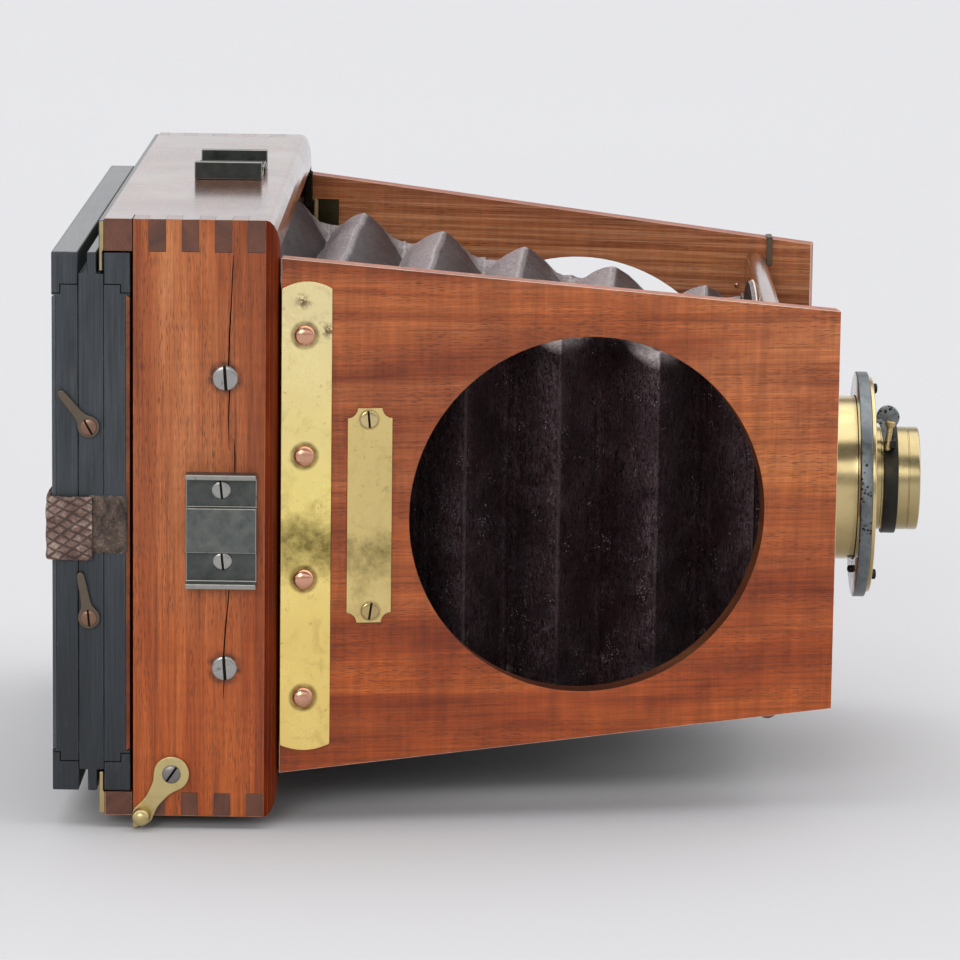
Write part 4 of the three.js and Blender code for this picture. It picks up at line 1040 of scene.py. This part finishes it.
low, high = (Vector(pick(v[axis] for v in catch) for axis in range(3)) for pick in (min, max))
size, middle = high - low, (low + high) / 2
edge = high.z - 1.1 * MM
upright = Vector((middle.x, low.y + 0.45 * MM, (low.z + edge) / 2))
plate = slab("board_catch_plate", (size.x, 0.8 * MM, edge - low.z), upright, RUSTY)
piece(bevelled(plate, 0.15 * MM), "far_side", "steel", "board_catch")
over = slab("board_catch_fold", (size.x, size.y, 0.4 * MM), Vector((middle.x, middle.y, edge + 0.25 * MM)),
            RUSTY)
piece(bevelled(over, 0.12 * MM), "far_side", "steel")


# ---- lens board and lens ----
carried("lens_board", WOOD_BOARD, 0)
carried("bellows_front_frame", BELLOWS_LEATHER, 0.2 * MM)
for side in (-1, 1):
    flap = slab("bellows_front_flap", (1.7 * MM, 8.6 * MM, 92 * MM), Vector((169.5, side * 68.2, 81)) * MM,
                BELLOWS_LEATHER)
    piece(bevelled(flap, 0.3 * MM), "front", "bellows_leather")
LENS_AXIS = Vector((0, 0, LENS_Z))
DISC_AXIS = Vector((0, 0, 83.55 * MM))


def on_lens(node, profile, material, slot, axis=LENS_AXIS):
    """A turned piece of the lens; profile is (radius, x) in millimetres."""
    made = lathe(node + "_turned", mm(profile), axis, X, material, 144)
    return piece(made, BODY_OF[node], slot, node)


def rim(radius, x, edge, turn=1, steps=4):
    """A rounded rim: turn is 1 for a front edge, with points running inwards, and -1 for a rear edge."""
    angles = [math.pi / 2 * k / steps for k in range(steps + 1)]
    points = [(radius - edge * (1 - math.cos(a)), x - turn * edge * (1 - math.sin(a))) for a in angles]
    return points if turn > 0 else points[::-1]


on_lens("lens_base_tube", [(24.3, 177.2), *rim(31, 177.2, 0.3, -1), *rim(31, 178.9, 0.4), (27.2, 179.0),
                           (26.3, 179.4), (25.9, 180.2), (25.9, 203), (24.3, 203), (24.3, 177.2)],
        BRASS_TURNED, "brass")
disc = on_lens("steel_disc", [(21.6, 203.1), *rim(35.75, 203.1, 0.45, -1), *rim(35.75, 206.9, 0.45),
                              (21.6, 206.9), (21.6, 203.1)], DISC_STEEL, "steel", DISC_AXIS)
flange = on_lens("lens_flange", [(12, 207), *rim(34.2, 207, 0.2, -1), *rim(34.2, 208.3, 0.5), (20.2, 208.3),
                                 (19.8, 208.1), (12, 208.1), (12, 207)], BRASS_TURNED, "brass", DISC_AXIS)
disc.data.materials.append(DISC_BACK)
for polygon in disc.data.polygons:
    polygon.material_index = 1 if polygon.normal.x < -0.9 else 0
# A near-black ring where the tube meets the disc: dirt and a painted shade line at the joint.
joint_dirt_and_shade = lathe("disc_joint_dirt_and_shade",
                   mm([(25.8, 202.9), (26.15, 202.9), (26.15, 203.15), (25.8, 203.15), (25.8, 202.9)]),
                   LENS_AXIS, X, SHADOW, 96)
piece(joint_dirt_and_shade, "lens", "steel")
tip = lathe("flange_screw_tip", mm([(0, -1.6), (0.5, -1.55), (0.9, -1.35), (1.15, -1.0), (1.2, 0.2),
                                    (0, 0.2)]), Vector((203.1, -4.8, 57.0)) * MM, X, BAND, 32)
piece(tip, "lens", "steel")
cut(flange, lathe("bore", mm([(0, 150), (16.34, 150), (16.34, 250), (0, 250)]), LENS_AXIS, X,
                  BRASS_TURNED, 144))
on_lens("lens_barrel", [(14.4, 190), (16.3, 190), (16.3, 210.9), (16.0, 211.1), (16.0, 211.5),
                        (16.3, 211.7), (16.3, 219.4), (16.1, 219.55), (16.1, 219.8), (16.3, 219.95),
                        *rim(16.3, 223.2, 0.55), (14.8, 223.0), (14.4, 222.3), (14.4, 190)], BRASS_BARREL,
        "brass")
for node, x, thick in (("front_lens", 214, 5.5), ("rear_lens", 192, 5)):
    bulge = [(14.2 * math.sin(a) / math.sin(0.5), (math.cos(a) - math.cos(0.5)) / (1 - math.cos(0.5)) * 1.6)
             for a in (0.5 * k / 8 for k in range(9))]
    front = [(r, x + thick - 1.6 + h) for r, h in bulge[::-1]]
    back = [(r, x + 1.6 - h) for r, h in bulge]
    on_lens(node, back + front, GLASS, "glass")
on_lens("clamp_ring", [(16.4, 211.7), *rim(17.5, 211.7, 0.25, -1), *rim(17.5, 216.2, 0.25), (16.4, 216.2),
                               (16.4, 211.7)], BAND, "gunmetal")
ear = lathe("clamp_ear", mm([(0, 0), (3.3, 0), (3.6, 0.3), (3.6, 2.1), (3.3, 2.4), (0, 2.4)]),
            Vector((212.9, -7.8, 106.8)) * MM, -Y, EAR_STEEL, 64)
piece(ear, "lens", "gunmetal")
for name, size, at in (("clamp_ear_neck", (2.6, 2.2, 5), (213.4, -9, 101.6)),
                       ("clamp_lug", (3.2, 6.6, 2.4), (213.6, -13.4, 99.3))):
    block = slab(name, Vector(size) * MM, Vector(at) * MM, BAND)
    piece(bevelled(block, 0.3 * MM), "lens", "gunmetal")
curl = ribbon(mm([(208.9, 106.3), (210.0, 106.4), (210.9, 105.6), (211.4, 104.2), (211.5, 102.2),
                  (211.9, 99.6)]), [w * MM for w in (0.8, 1.3, 1.7, 1.8, 1.5, 1.0)])
curled = prism("clamp_band_end", curl, Vector((0, -13.2 * MM, 0)), X, Z, 0, 2.4 * MM, EAR_STEEL)
piece(bevelled(curled, 0.2 * MM), "lens", "gunmetal")
clamp_foot, clamp_way = Vector((212.45, -15.9, 97.4)) * MM, Vector((0.1, 0, 1)).normalized()
thread = [(0.95 - 0.1 * (k % 2), 0.4 + 0.28 * k) for k in range(25)]
clamp_screw = lathe("clamp_screw_turned", mm([
    (0, 0), (0.7, 0), *thread, (0.95, 7.4), (1.35, 7.6), (1.5, 7.9), (1.5, 9.0), (1.25, 9.3), (0, 9.4)]),
    clamp_foot, clamp_way, BRASS_OLD, 40)
slot_foot = clamp_foot + clamp_way * 8.4 * MM
cut(clamp_screw, prism("slot", rectangle(3 * MM, 0.3 * MM), slot_foot, X, Y, 0, 2 * MM, SHADOW))
piece(clamp_screw, "lens", "brass", "clamp_screw")
for i, angle in enumerate((5, 144, 250), 1):
    away = Vector((0, -math.sin(math.radians(angle)), math.cos(math.radians(angle)))) * 31.4 * MM
    screw = slotted_screw(f"flange_screw_{i}", 1.6 * MM, DISC_AXIS + away + X * 208.3 * MM, X, angle, BAND,
                          1.0 * MM, 0.5 * MM, 0.3 * MM)
    piece(screw, "lens", "steel")


# ---- the bellows ----
REAR_END, FRONT_END = -11.8, 168.4
PLEATS = ((-1.25, REAR_END), (-0.5, 7), (0, 19), (1, 43), (2, 69), (2.5, 82.5), (3, 96), (3.5, 111),
          (4, 125), (4.5, 141), (5, 155), (5.5, FRONT_END))
REAR_HALF_WIDTH, REAR_HALF_HEIGHT = 93.8, 77.4
WIDTH_TAPER, HEIGHT_TAPER = 0.187, 0.153
ROUNDNESS = 7.5
TOP_SWING, SIDE_SWING = 5.4, 6.2
LEATHER_THICK = 1.1
CREASE_GAP = 0.03
CREASE_ROWS = (-0.022, -0.008, 0.008, 0.022)
MIDDLE_Z = 90 * MM


def fold_x(phase):
    """Where along the camera a phase lies: whole phases are crests on top and valleys on the sides."""
    for (p0, x0), (p1, x1) in zip(PLEATS, PLEATS[1:]):
        if phase <= p1:
            return x0 + (x1 - x0) * (phase - p0) / (p1 - p0)
    return FRONT_END


def top_fold(phase):
    """1 on a broad round crest, falling to -1 in a narrow valley: the folds along the top and bottom."""
    cusp = 2 * abs(math.cos(math.pi * phase)) - 1
    zigzag = 4 * abs(phase % 1 - 0.5) - 1
    return cusp * 0.65 + zigzag * 0.35


def side_fold(phase):
    """The folds along the sides: flat panels that meet in creases, half a fold out of step with the top."""
    zigzag = 4 * abs((phase + 0.5) % 1 - 0.5) - 1
    return zigzag * 0.8 - 0.2 * math.cos(2 * math.pi * phase)


def bellows_point(phase, around, inset):
    """A point of the leather, inset by millimetres. around runs from 0 to 1, from the far side's foot."""
    x = fold_x(phase)
    wide = REAR_HALF_WIDTH - WIDTH_TAPER * (x + 5) - SIDE_SWING - inset
    high = REAR_HALF_HEIGHT - HEIGHT_TAPER * (x + 5) - TOP_SWING - inset
    flat_y, flat_z = wide - ROUNDNESS, high - ROUNDNESS
    quarter = ROUNDNESS * math.pi / 2
    loop = 4 * (flat_y + flat_z + quarter)
    d = around * loop
    sides = ((2 * flat_z, 0), (2 * flat_y, 1), (2 * flat_z, 2), (2 * flat_y, 3))
    corners = ((flat_y, flat_z), (-flat_y, flat_z), (-flat_y, -flat_z), (flat_y, -flat_z))
    for (length, side), (cy, cz) in zip(sides, corners):
        angle = side * math.pi / 2
        ny, nz = math.cos(angle), math.sin(angle)
        if d <= length:
            along = d - length
            y, z = cy - nz * along + ny * ROUNDNESS, cz + ny * along + nz * ROUNDNESS
            break
        d -= length
        if d <= quarter:
            angle += d / ROUNDNESS
            ny, nz = math.cos(angle), math.sin(angle)
            y, z = cy + ny * ROUNDNESS, cz + nz * ROUNDNESS
            break
        d -= quarter
    else:
        ny, nz, y, z = 1, 0, flat_y + ROUNDNESS, -flat_z
    held = min(1.0, (x - REAR_END) / 9) * (1.0 if x < 160 else 1 - 0.35 * (x - 160) / 8.4)
    flare = max(0.0, (x - 148) / (FRONT_END - 148)) ** 1.4 * 11 * abs(ny)
    crease = max(0.0, 1 - abs(phase % 1 - 0.5) * 24) * ny * ny
    waves = TOP_SWING * top_fold(phase) * nz * nz + SIDE_SWING * side_fold(phase) * ny * ny
    out = (waves + 0.45 * crease) * held
    spot = Vector((x / 34, y / 34, z / 34))
    out += (noise.noise(spot) * 1.5 + noise.noise(spot * 3.1 + Vector((5, 5, 5))) * 0.55) * held
    fine = Vector((x, y * 0.7, z * 0.7))
    out += (noise.noise(fine * 0.42) * 0.22 + noise.noise(fine * 1.1) * 0.09) * held + flare
    middle = 89.9 - 0.022 * (x + 12)
    across = y / wide
    sag = (-0.5 if nz > 0 else 2.2) * abs(nz) * max(0.0, 1 - across * across) * held
    drop = 6.0 * max(0.0, -nz) * held
    shear = 2.0 * across * min(1.0, (FRONT_END - x) / 14, (x - REAR_END) / 14)
    return Vector((x + shear, y + ny * out, middle + z + nz * out - sag - drop)) * MM


def painted_fold_light(phase, side):
    """Painted light on the leather at a phase: on the sides, the panels that face the box and the key light
    get a painted sheen that brightens towards their crest, with painted highlight lines at the creases; on
    top, a worn crest line with a painted highlight.
    """
    part = phase % 1
    if not side:
        return max(0.0, 1 - min(part, 1 - part) / 0.04)
    panel_light = 0.62 * (part * 2) ** 1.7 if part < 0.5 else 0.13 * (2 - part * 2)
    lines = sum(amount * max(0.0, 1 - abs(part - at) / 0.022) for at, amount in (
        (0.5, 0.45), (0.435, 0.16), (0.06, 0.3), (0.0, 0.2), (0.94, 0.24), (0.56, 0.2)))
    return min(1.0, panel_light + lines)


def bellows():
    """The pleated leather tube, whose top and bottom folds alternate with the side folds."""
    steps, around = ((190, 200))
    first, last = PLEATS[0][0], PLEATS[-1][0]
    creases = [k / 2 for k in range(-2, 12)]
    phases = [first + (last - first) * i / steps for i in range(steps + 1)]
    phases = [p for p in phases if min(abs(p - crease) for crease in creases) > CREASE_GAP
              or p in (first, last)]
    phases = sorted(phases + [crease + side for crease in creases for side in CREASE_ROWS
                              if first < crease + side < last])
    bm = bmesh.new()
    tone = bm.verts.layers.float.new("fold")
    layers = []
    for inset in (0.0, LEATHER_THICK):
        layers.append([[bm.verts.new(bellows_point(phase, k / around, inset)) for k in range(around)]
                       for phase in phases])
    for layer in layers:
        for i, (low, high) in enumerate(zip(layer, layer[1:])):
            middle = (phases[i] + phases[i + 1]) / 2
            for k in range(around):
                n = (k + 1) % around
                face = bm.faces.new((low[k], low[n], high[n], high[k]))
                normal = face.calc_center_median() - Vector((low[k].co.x, 0, MIDDLE_Z))
                on_top = abs(normal.z) * 1.2 > abs(normal.y)
                nearest = round(middle) if on_top else math.floor(middle) + 0.5
                shrink = 0.17 * (fold_x(middle) + 5)
                aside, half = (normal.y, 74 - shrink) if on_top else (normal.z, 55 - shrink * 0.9)
                on_crest = abs(middle - nearest) < 0.015 and abs(aside) < half * MM
                # Faces along a crest of the outer skin get the worn crest material, with its painted
                # highlight.
                crest_wear_and_highlight = on_crest and layer is layers[0]
                face.material_index = 2 if layer is layers[1] else 1 if crest_wear_and_highlight else 0
    for end in (0, -1):
        outer, inner = layers[0][end], layers[1][end]
        for k in range(around):
            n = (k + 1) % around
            bm.faces.new((outer[k], outer[n], inner[n], inner[k]))
    bmesh.ops.recalc_face_normals(bm, faces=bm.faces)
    # Each vertex's fold value is painted light: the sheen and highlight lines painted at its phase.
    for layer in layers:
        for phase, row in zip(phases, layer):
            for vert in row:
                vert[tone] = painted_fold_light(phase, abs(vert.co.y) > abs(vert.co.z - MIDDLE_Z) * 1.05)
    tube = built("bellows_leather", bm, [BELLOWS_LEATHER, CREST_LEATHER, FELT], 60)
    piece(tube, "box", "bellows_leather", "bellows")
    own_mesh(tube)


bellows()


# ---- plate holder ----
HOLDER_NEAR = -110.7 * MM


def joint_lines(*lines):
    """Cutters for the open lines of a bridle joint in a rail's near end."""
    face = Vector((0, HOLDER_NEAR, 0))
    return [prism("joint_line", ribbon(mm(line), [0.32 * MM] * len(line)), face, X, Z, -0.9 * MM, 1.4 * MM,
                  SHADOW) for line in lines]


def rail_faces(normal, centre):
    """Grain along Y on the top and bottom of the holder's rails."""
    return BLACK_TOP if abs(normal.z) > 0.9 else None


carried("holder_core", BLACK_RAIL, 0.3 * MM, BLACK_WORN, rail_faces)
carried("rear_leaf", BLACK_RAIL, 0.4 * MM, BLACK_WORN, rail_faces, cutters=joint_lines(
    [(-41.9, 157.6), (-38.8, 157.6), (-38.8, 160.3), (-33, 160.3)],
    [(-41.9, 19.1), (-39.0, 19.1), (-39.0, 16.4), (-33, 16.4)]))
carried("front_leaf", BLACK_RAIL, 0.35 * MM, BLACK_WORN, rail_faces, cutters=joint_lines(
    [(-17.6, 157.9), (-20.9, 157.9), (-20.9, 160.4), (-26.4, 160.4)],
    [(-17.6, 18.9), (-20.9, 18.9), (-20.9, 16.3), (-26.4, 16.3)]))
carried("front_shutter", WOOD_SHUTTER, 0.15 * MM)
carried("rear_shutter", BLACK_TOP, 0.15 * MM)
carried("septum", GUNMETAL, 0.1 * MM)
carried("front_plate", GLASS, 0.1 * MM)
carried("rear_plate", GLASS, 0.1 * MM)
carried("leaf_hinge", BRASS_OLD, 0.1 * MM)


def strap(name, path, low, high, thickness, material, seed):
    """A leather strap: a strip bent along a path in plan, its edges cut by hand and a little frayed."""
    points, steps = [], 60
    lengths = [(Vector(b) - Vector(a)).length for a, b in zip(path, path[1:])]
    total = sum(lengths)
    for i in range(steps + 1):
        d = total * i / steps
        for (a, b), length in zip(zip(path, path[1:]), lengths):
            if d <= length + 1e-9:
                points.append(Vector(a).lerp(Vector(b), d / length))
                break
            d -= length
    for _ in range(3):
        points = [points[0]] + [(points[i - 1] + points[i] * 2 + points[i + 1]) / 4
                                for i in range(1, steps)] + [points[-1]]
    rows = 26
    bm = bmesh.new()
    grid = {}
    for i, point in enumerate(points):
        ahead = (points[min(i + 1, steps)] - points[max(i - 1, 0)]).normalized()
        side = Vector((ahead.y, -ahead.x))
        fray = [noise.noise(Vector((i * 0.21, seed, k * 7.0))) * 0.45
                + noise.noise(Vector((i * 0.9, k, seed))) * 0.16 for k in (0, 1)]
        for j in range(rows + 1):
            t = j / rows
            z = low + fray[0] + (high + fray[1] - low - fray[0]) * t
            edge = min(t, 1 - t) * (high - low)
            thin = 0.3 * max(0.0, 1 - edge / 0.8)
            swell = noise.noise(Vector((i * 0.13, z * 0.3, seed))) * 0.3
            for layer in (0, 1):
                depth = thickness - thin + swell if layer else thin
                at = point + side * depth
                grid[i, j, layer] = bm.verts.new(Vector((at.x, at.y, z)) * MM)
    for i in range(steps):
        for j in range(rows):
            bm.faces.new([grid[k] for k in ((i, j, 1), (i + 1, j, 1), (i + 1, j + 1, 1), (i, j + 1, 1))])
            bm.faces.new([grid[k] for k in ((i, j, 0), (i, j + 1, 0), (i + 1, j + 1, 0), (i + 1, j, 0))])
        for j in (0, rows):
            bm.faces.new([grid[k] for k in ((i, j, 0), (i + 1, j, 0), (i + 1, j, 1), (i, j, 1))])
    for j in range(rows):
        for i in (0, steps):
            bm.faces.new([grid[k] for k in ((i, j, 0), (i, j, 1), (i, j + 1, 1), (i, j + 1, 0))])
    bmesh.ops.recalc_face_normals(bm, faces=bm.faces)
    return built(name, bm, [material], 50)


def corner(centre, radius, start, end, steps=6):
    """Points round a bend in plan, in degrees from +X towards +Y."""
    return [(centre[0] + radius * math.cos(math.radians(start + (end - start) * k / steps)),
             centre[1] + radius * math.sin(math.radians(start + (end - start) * k / steps)))
            for k in range(steps + 1)]


rear_path = [(-29.3, -111.3), *corner((-40.6, -110.4), 1.1, 270, 180), (-41.7, -96)]
piece(strap("rear_tab_strap", rear_path[::-1], 78, 97, 1.5, EMBOSSED, 3), "rear_shutter", "brown_leather",
      "rear_tab")
front_path = [(-18.7, -109.0), *corner((-19.9, -110.2), 1.2, 0, -90), (-30.3, -111.2)]
piece(strap("front_tab_strap", front_path, 80, 97.2, 1.25, TAB_LEATHER, 8), "front_shutter",
      "brown_leather", "front_tab")


def flat_lever(name, sides, pivot, angle, eye, back, thick, material, bevel):
    """A flat lever: a round eye and an arm. sides lists (distance from the pivot, half width)."""
    turn = math.radians(angle)
    ring = [(-eye * math.cos(a), eye * math.sin(a)) for a in (math.radians(122 - 244 * k / 14)
                                                              for k in range(15))]
    arm = [(d, -w) for d, w in sides] + [(d, w) for d, w in reversed(sides[:-1])]
    line = curve_through(mm(ring + arm), 6)
    across = X * math.cos(turn) + Z * math.sin(turn)
    up = X * -math.sin(turn) + Z * math.cos(turn)
    arm = prism(name, line, Vector(pivot) * MM, across, up, back * MM, thick * MM, material)
    return bevelled(arm, bevel * MM, 3, 40)


for node, z, angle, length, spin in (("upper_hook", 118, 129.5, 12.6, 0.5),
                                     ("lower_hook", 60.4, 101, 12.9, 0.1)):
    hook = flat_lever(node + "_forged", [(3.3, 1.9), (5.2, 1.5), (length * 0.7, 1.35), (length, 1.15),
                                         (length + 0.95, 0.6), (length + 1.2, 0)], (-30.3, -111.1, z),
                      angle, 3.3, 0, 1.25, RUSTY, 0.4)
    piece(hook, node, "steel", node)
    head = slotted_screw(node + "_screw_head", 2.5 * MM, Vector((-30.3, -112.3, z)) * MM, -Y, spin,
                         DULL_COPPER, 0.3 * MM, 0.55 * MM, 1.5 * MM)
    piece(head, "holder", "copper", node + "_screw")


# ---- the holder's lever ----
def holder_lever():
    """The brass lever that holds the plate holder in: an arm, a ball end and its screw."""
    pivot, tip = Vector((-5.66, 13.16)), Vector((-17, -3.4))
    way = (tip - pivot).normalized()
    angle = math.degrees(math.atan2(way.y, way.x))
    sides = [(5.0, 3.3), (7.5, 2.7), (10.5, 2.35), (13.2, 2.75), (15.5, 3.1), (17.2, 2.3), (18.6, 1.1),
             (19.9, 0.45), (20.3, 0)]
    arm = flat_lever("holder_lever_arm", sides, (-5.66, -111.35, 13.16), angle, 5.3, 0, 1.35, BRASS_LEVER,
                     0.3)
    piece(arm, "lever", "brass", "holder_lever")
    knob = lathe("holder_lever_knob", mm([(0, 0), (1.9, 0), (2.0, 0.6), (2.5, 1.3), (2.75, 2.2), (2.6, 3.2),
                                          (2.0, 4.0), (1.1, 4.45), (0, 4.6)]),
                 Vector((-14.5, -112.6, 0.5)) * MM, -Y, BRASS_LEVER, 48)
    piece(knob, "lever", "brass")
    screw = slotted_screw("lever_screw_head", 2.75 * MM, Vector((-5.66, -112.7, 13.16)) * MM, -Y, -0.6,
                          STEEL_DARK, 0.4 * MM, 0.6 * MM, 1.4 * MM)
    piece(screw, "box", "steel", "lever_screw")


holder_lever()


# ---- small parts ----
nail_at = mirrored(on_cheek(169 * MM, 136 * MM, -CHEEK_THICK))
piece(lathe("cheek_nail", mm([(0, -1.5), (0.5, -1.5), (0.5, 0), (0.9, 0.1), (0.7, 0.4), (0, 0.55)]),
            nail_at, -mirrored(OUTWARD), COPPER, 32), "far_side", "copper")
felt = slab("felt_strip", (2.6 * MM, 6 * MM, 12 * MM), Vector((25.0, 98.5, 163)) * MM, FELT)
piece(bevelled(felt, 0.5 * MM), "box", "bellows_leather")


def arched_card():
    """The cream card that lines the bellows' front end: an arched top edge behind the lens board."""
    half, top, foot, thick = 50.0, 147.6, 124.0, 0.45
    crown = [(half * math.cos(a), foot + (top - foot) * math.sin(a))
             for a in (math.pi * k / 40 for k in range(41))]
    outline = mm(crown)
    card = prism("bellows_front_card", outline, Vector((169.9, 0, 0)) * MM, Y, Z, 0, thick * MM, CARD)
    cover = prism("bellows_front_cover", [(y * 0.985, z - 0.5 * MM) for y, z in outline],
                  Vector((168.75, 0, 0)) * MM, Y, Z, 0, 1.15 * MM, BELLOWS_LEATHER)
    piece(card, "front", "bellows_leather")
    piece(cover, "front", "bellows_leather")


arched_card()


# ---- the studio ----
# The sky's brightness by elevation, in degrees from the horizon in front of the object, over the top, to
# the horizon behind it: a dim gap, a strip light, a dark gap, a broad overhead softbox, and a pale wall.
SKY = ((-180, 0.8), (-5, 0.7), (0, 0.42), (15, 0.42), (18, 1.45), (30, 1.4), (35, 0.2), (58, 0.2),
       (66, 1.7), (132, 1.6), (146, 0.35), (156, 0.45), (163, 0.85), (180, 0.85))


def studio():
    """A pale seamless floor, a broad soft key and rim light, and a sky with softboxes."""
    floor_z = CAD_BOX[0][2] - 0.5 * MM
    bpy.ops.mesh.primitive_plane_add(size=60, location=(0.1, 6, floor_z))
    floor = bpy.context.object
    floor.name = "floor"
    floor.data.materials.append(floor_paint("floor_paint"))
    for name, aim, strength, spread in (("key_light", (0.25, 0.97, -0.48), 0.7, 24),
                                        ("rim_light", (-0.6, -0.35, -0.9), 0.25, 60)):
        data = bpy.data.lights.new(name, "SUN")
        data.energy = strength
        data.angle = math.radians(spread)
        obj = bpy.data.objects.new(name, data)
        bpy.context.scene.collection.objects.link(obj)
        obj.rotation_euler = Vector(aim).to_track_quat("-Z", "Y").to_euler()
    world = bpy.data.worlds.new("studio")
    bpy.context.scene.world = world
    world.use_nodes = True
    sky = Nodes(world.node_tree)
    generated = sky.node("ShaderNodeTexCoord", out="Generated")
    y, z = (sky.node("ShaderNodeSeparateXYZ", out=axis, inputs={0: generated}) for axis in "YZ")
    angle = sky.math("ARCTAN2", z, sky.math("MULTIPLY", y, -1.0))
    turn = sky.node("ShaderNodeMath", operation="MULTIPLY_ADD", inputs={0: angle, 1: 0.5 / math.pi, 2: 0.5})
    greys = [((degrees + 180) / 360, (grey, grey, grey * 1.02)) for degrees, grey in SKY]
    background = sky.tree.nodes["Background"]
    sky.put(background.inputs["Color"], sky.ramp(turn, *greys))
    sky.put(background.inputs["Strength"], 1.0)


def camera():
    """A long lens 1.6 m away, looking down by 10 degrees."""
    yaw, pitch, roll = (math.radians(a) for a in (-0.52, 10.47, 0.72))
    look = Vector((math.sin(yaw) * math.cos(pitch), math.cos(yaw) * math.cos(pitch), -math.sin(pitch)))
    right = Vector((math.cos(yaw), -math.sin(yaw), 0))
    up = right.cross(look)
    across = right * math.cos(roll) + up * math.sin(roll)
    upright = up * math.cos(roll) - right * math.sin(roll)
    data = bpy.data.cameras.new("camera")
    data.sensor_width = 36
    data.lens = 187.5
    data.clip_end = 60
    obj = bpy.data.objects.new("camera", data)
    bpy.context.scene.collection.objects.link(obj)
    turn = Matrix((across, upright, -look)).transposed().to_4x4()
    obj.matrix_world = Matrix.Translation(Vector((98.62, -1564.5, 372.2)) * MM) @ turn
    bpy.context.scene.camera = obj


studio()
camera()
bpy.context.scene.view_settings.view_transform = "Standard"
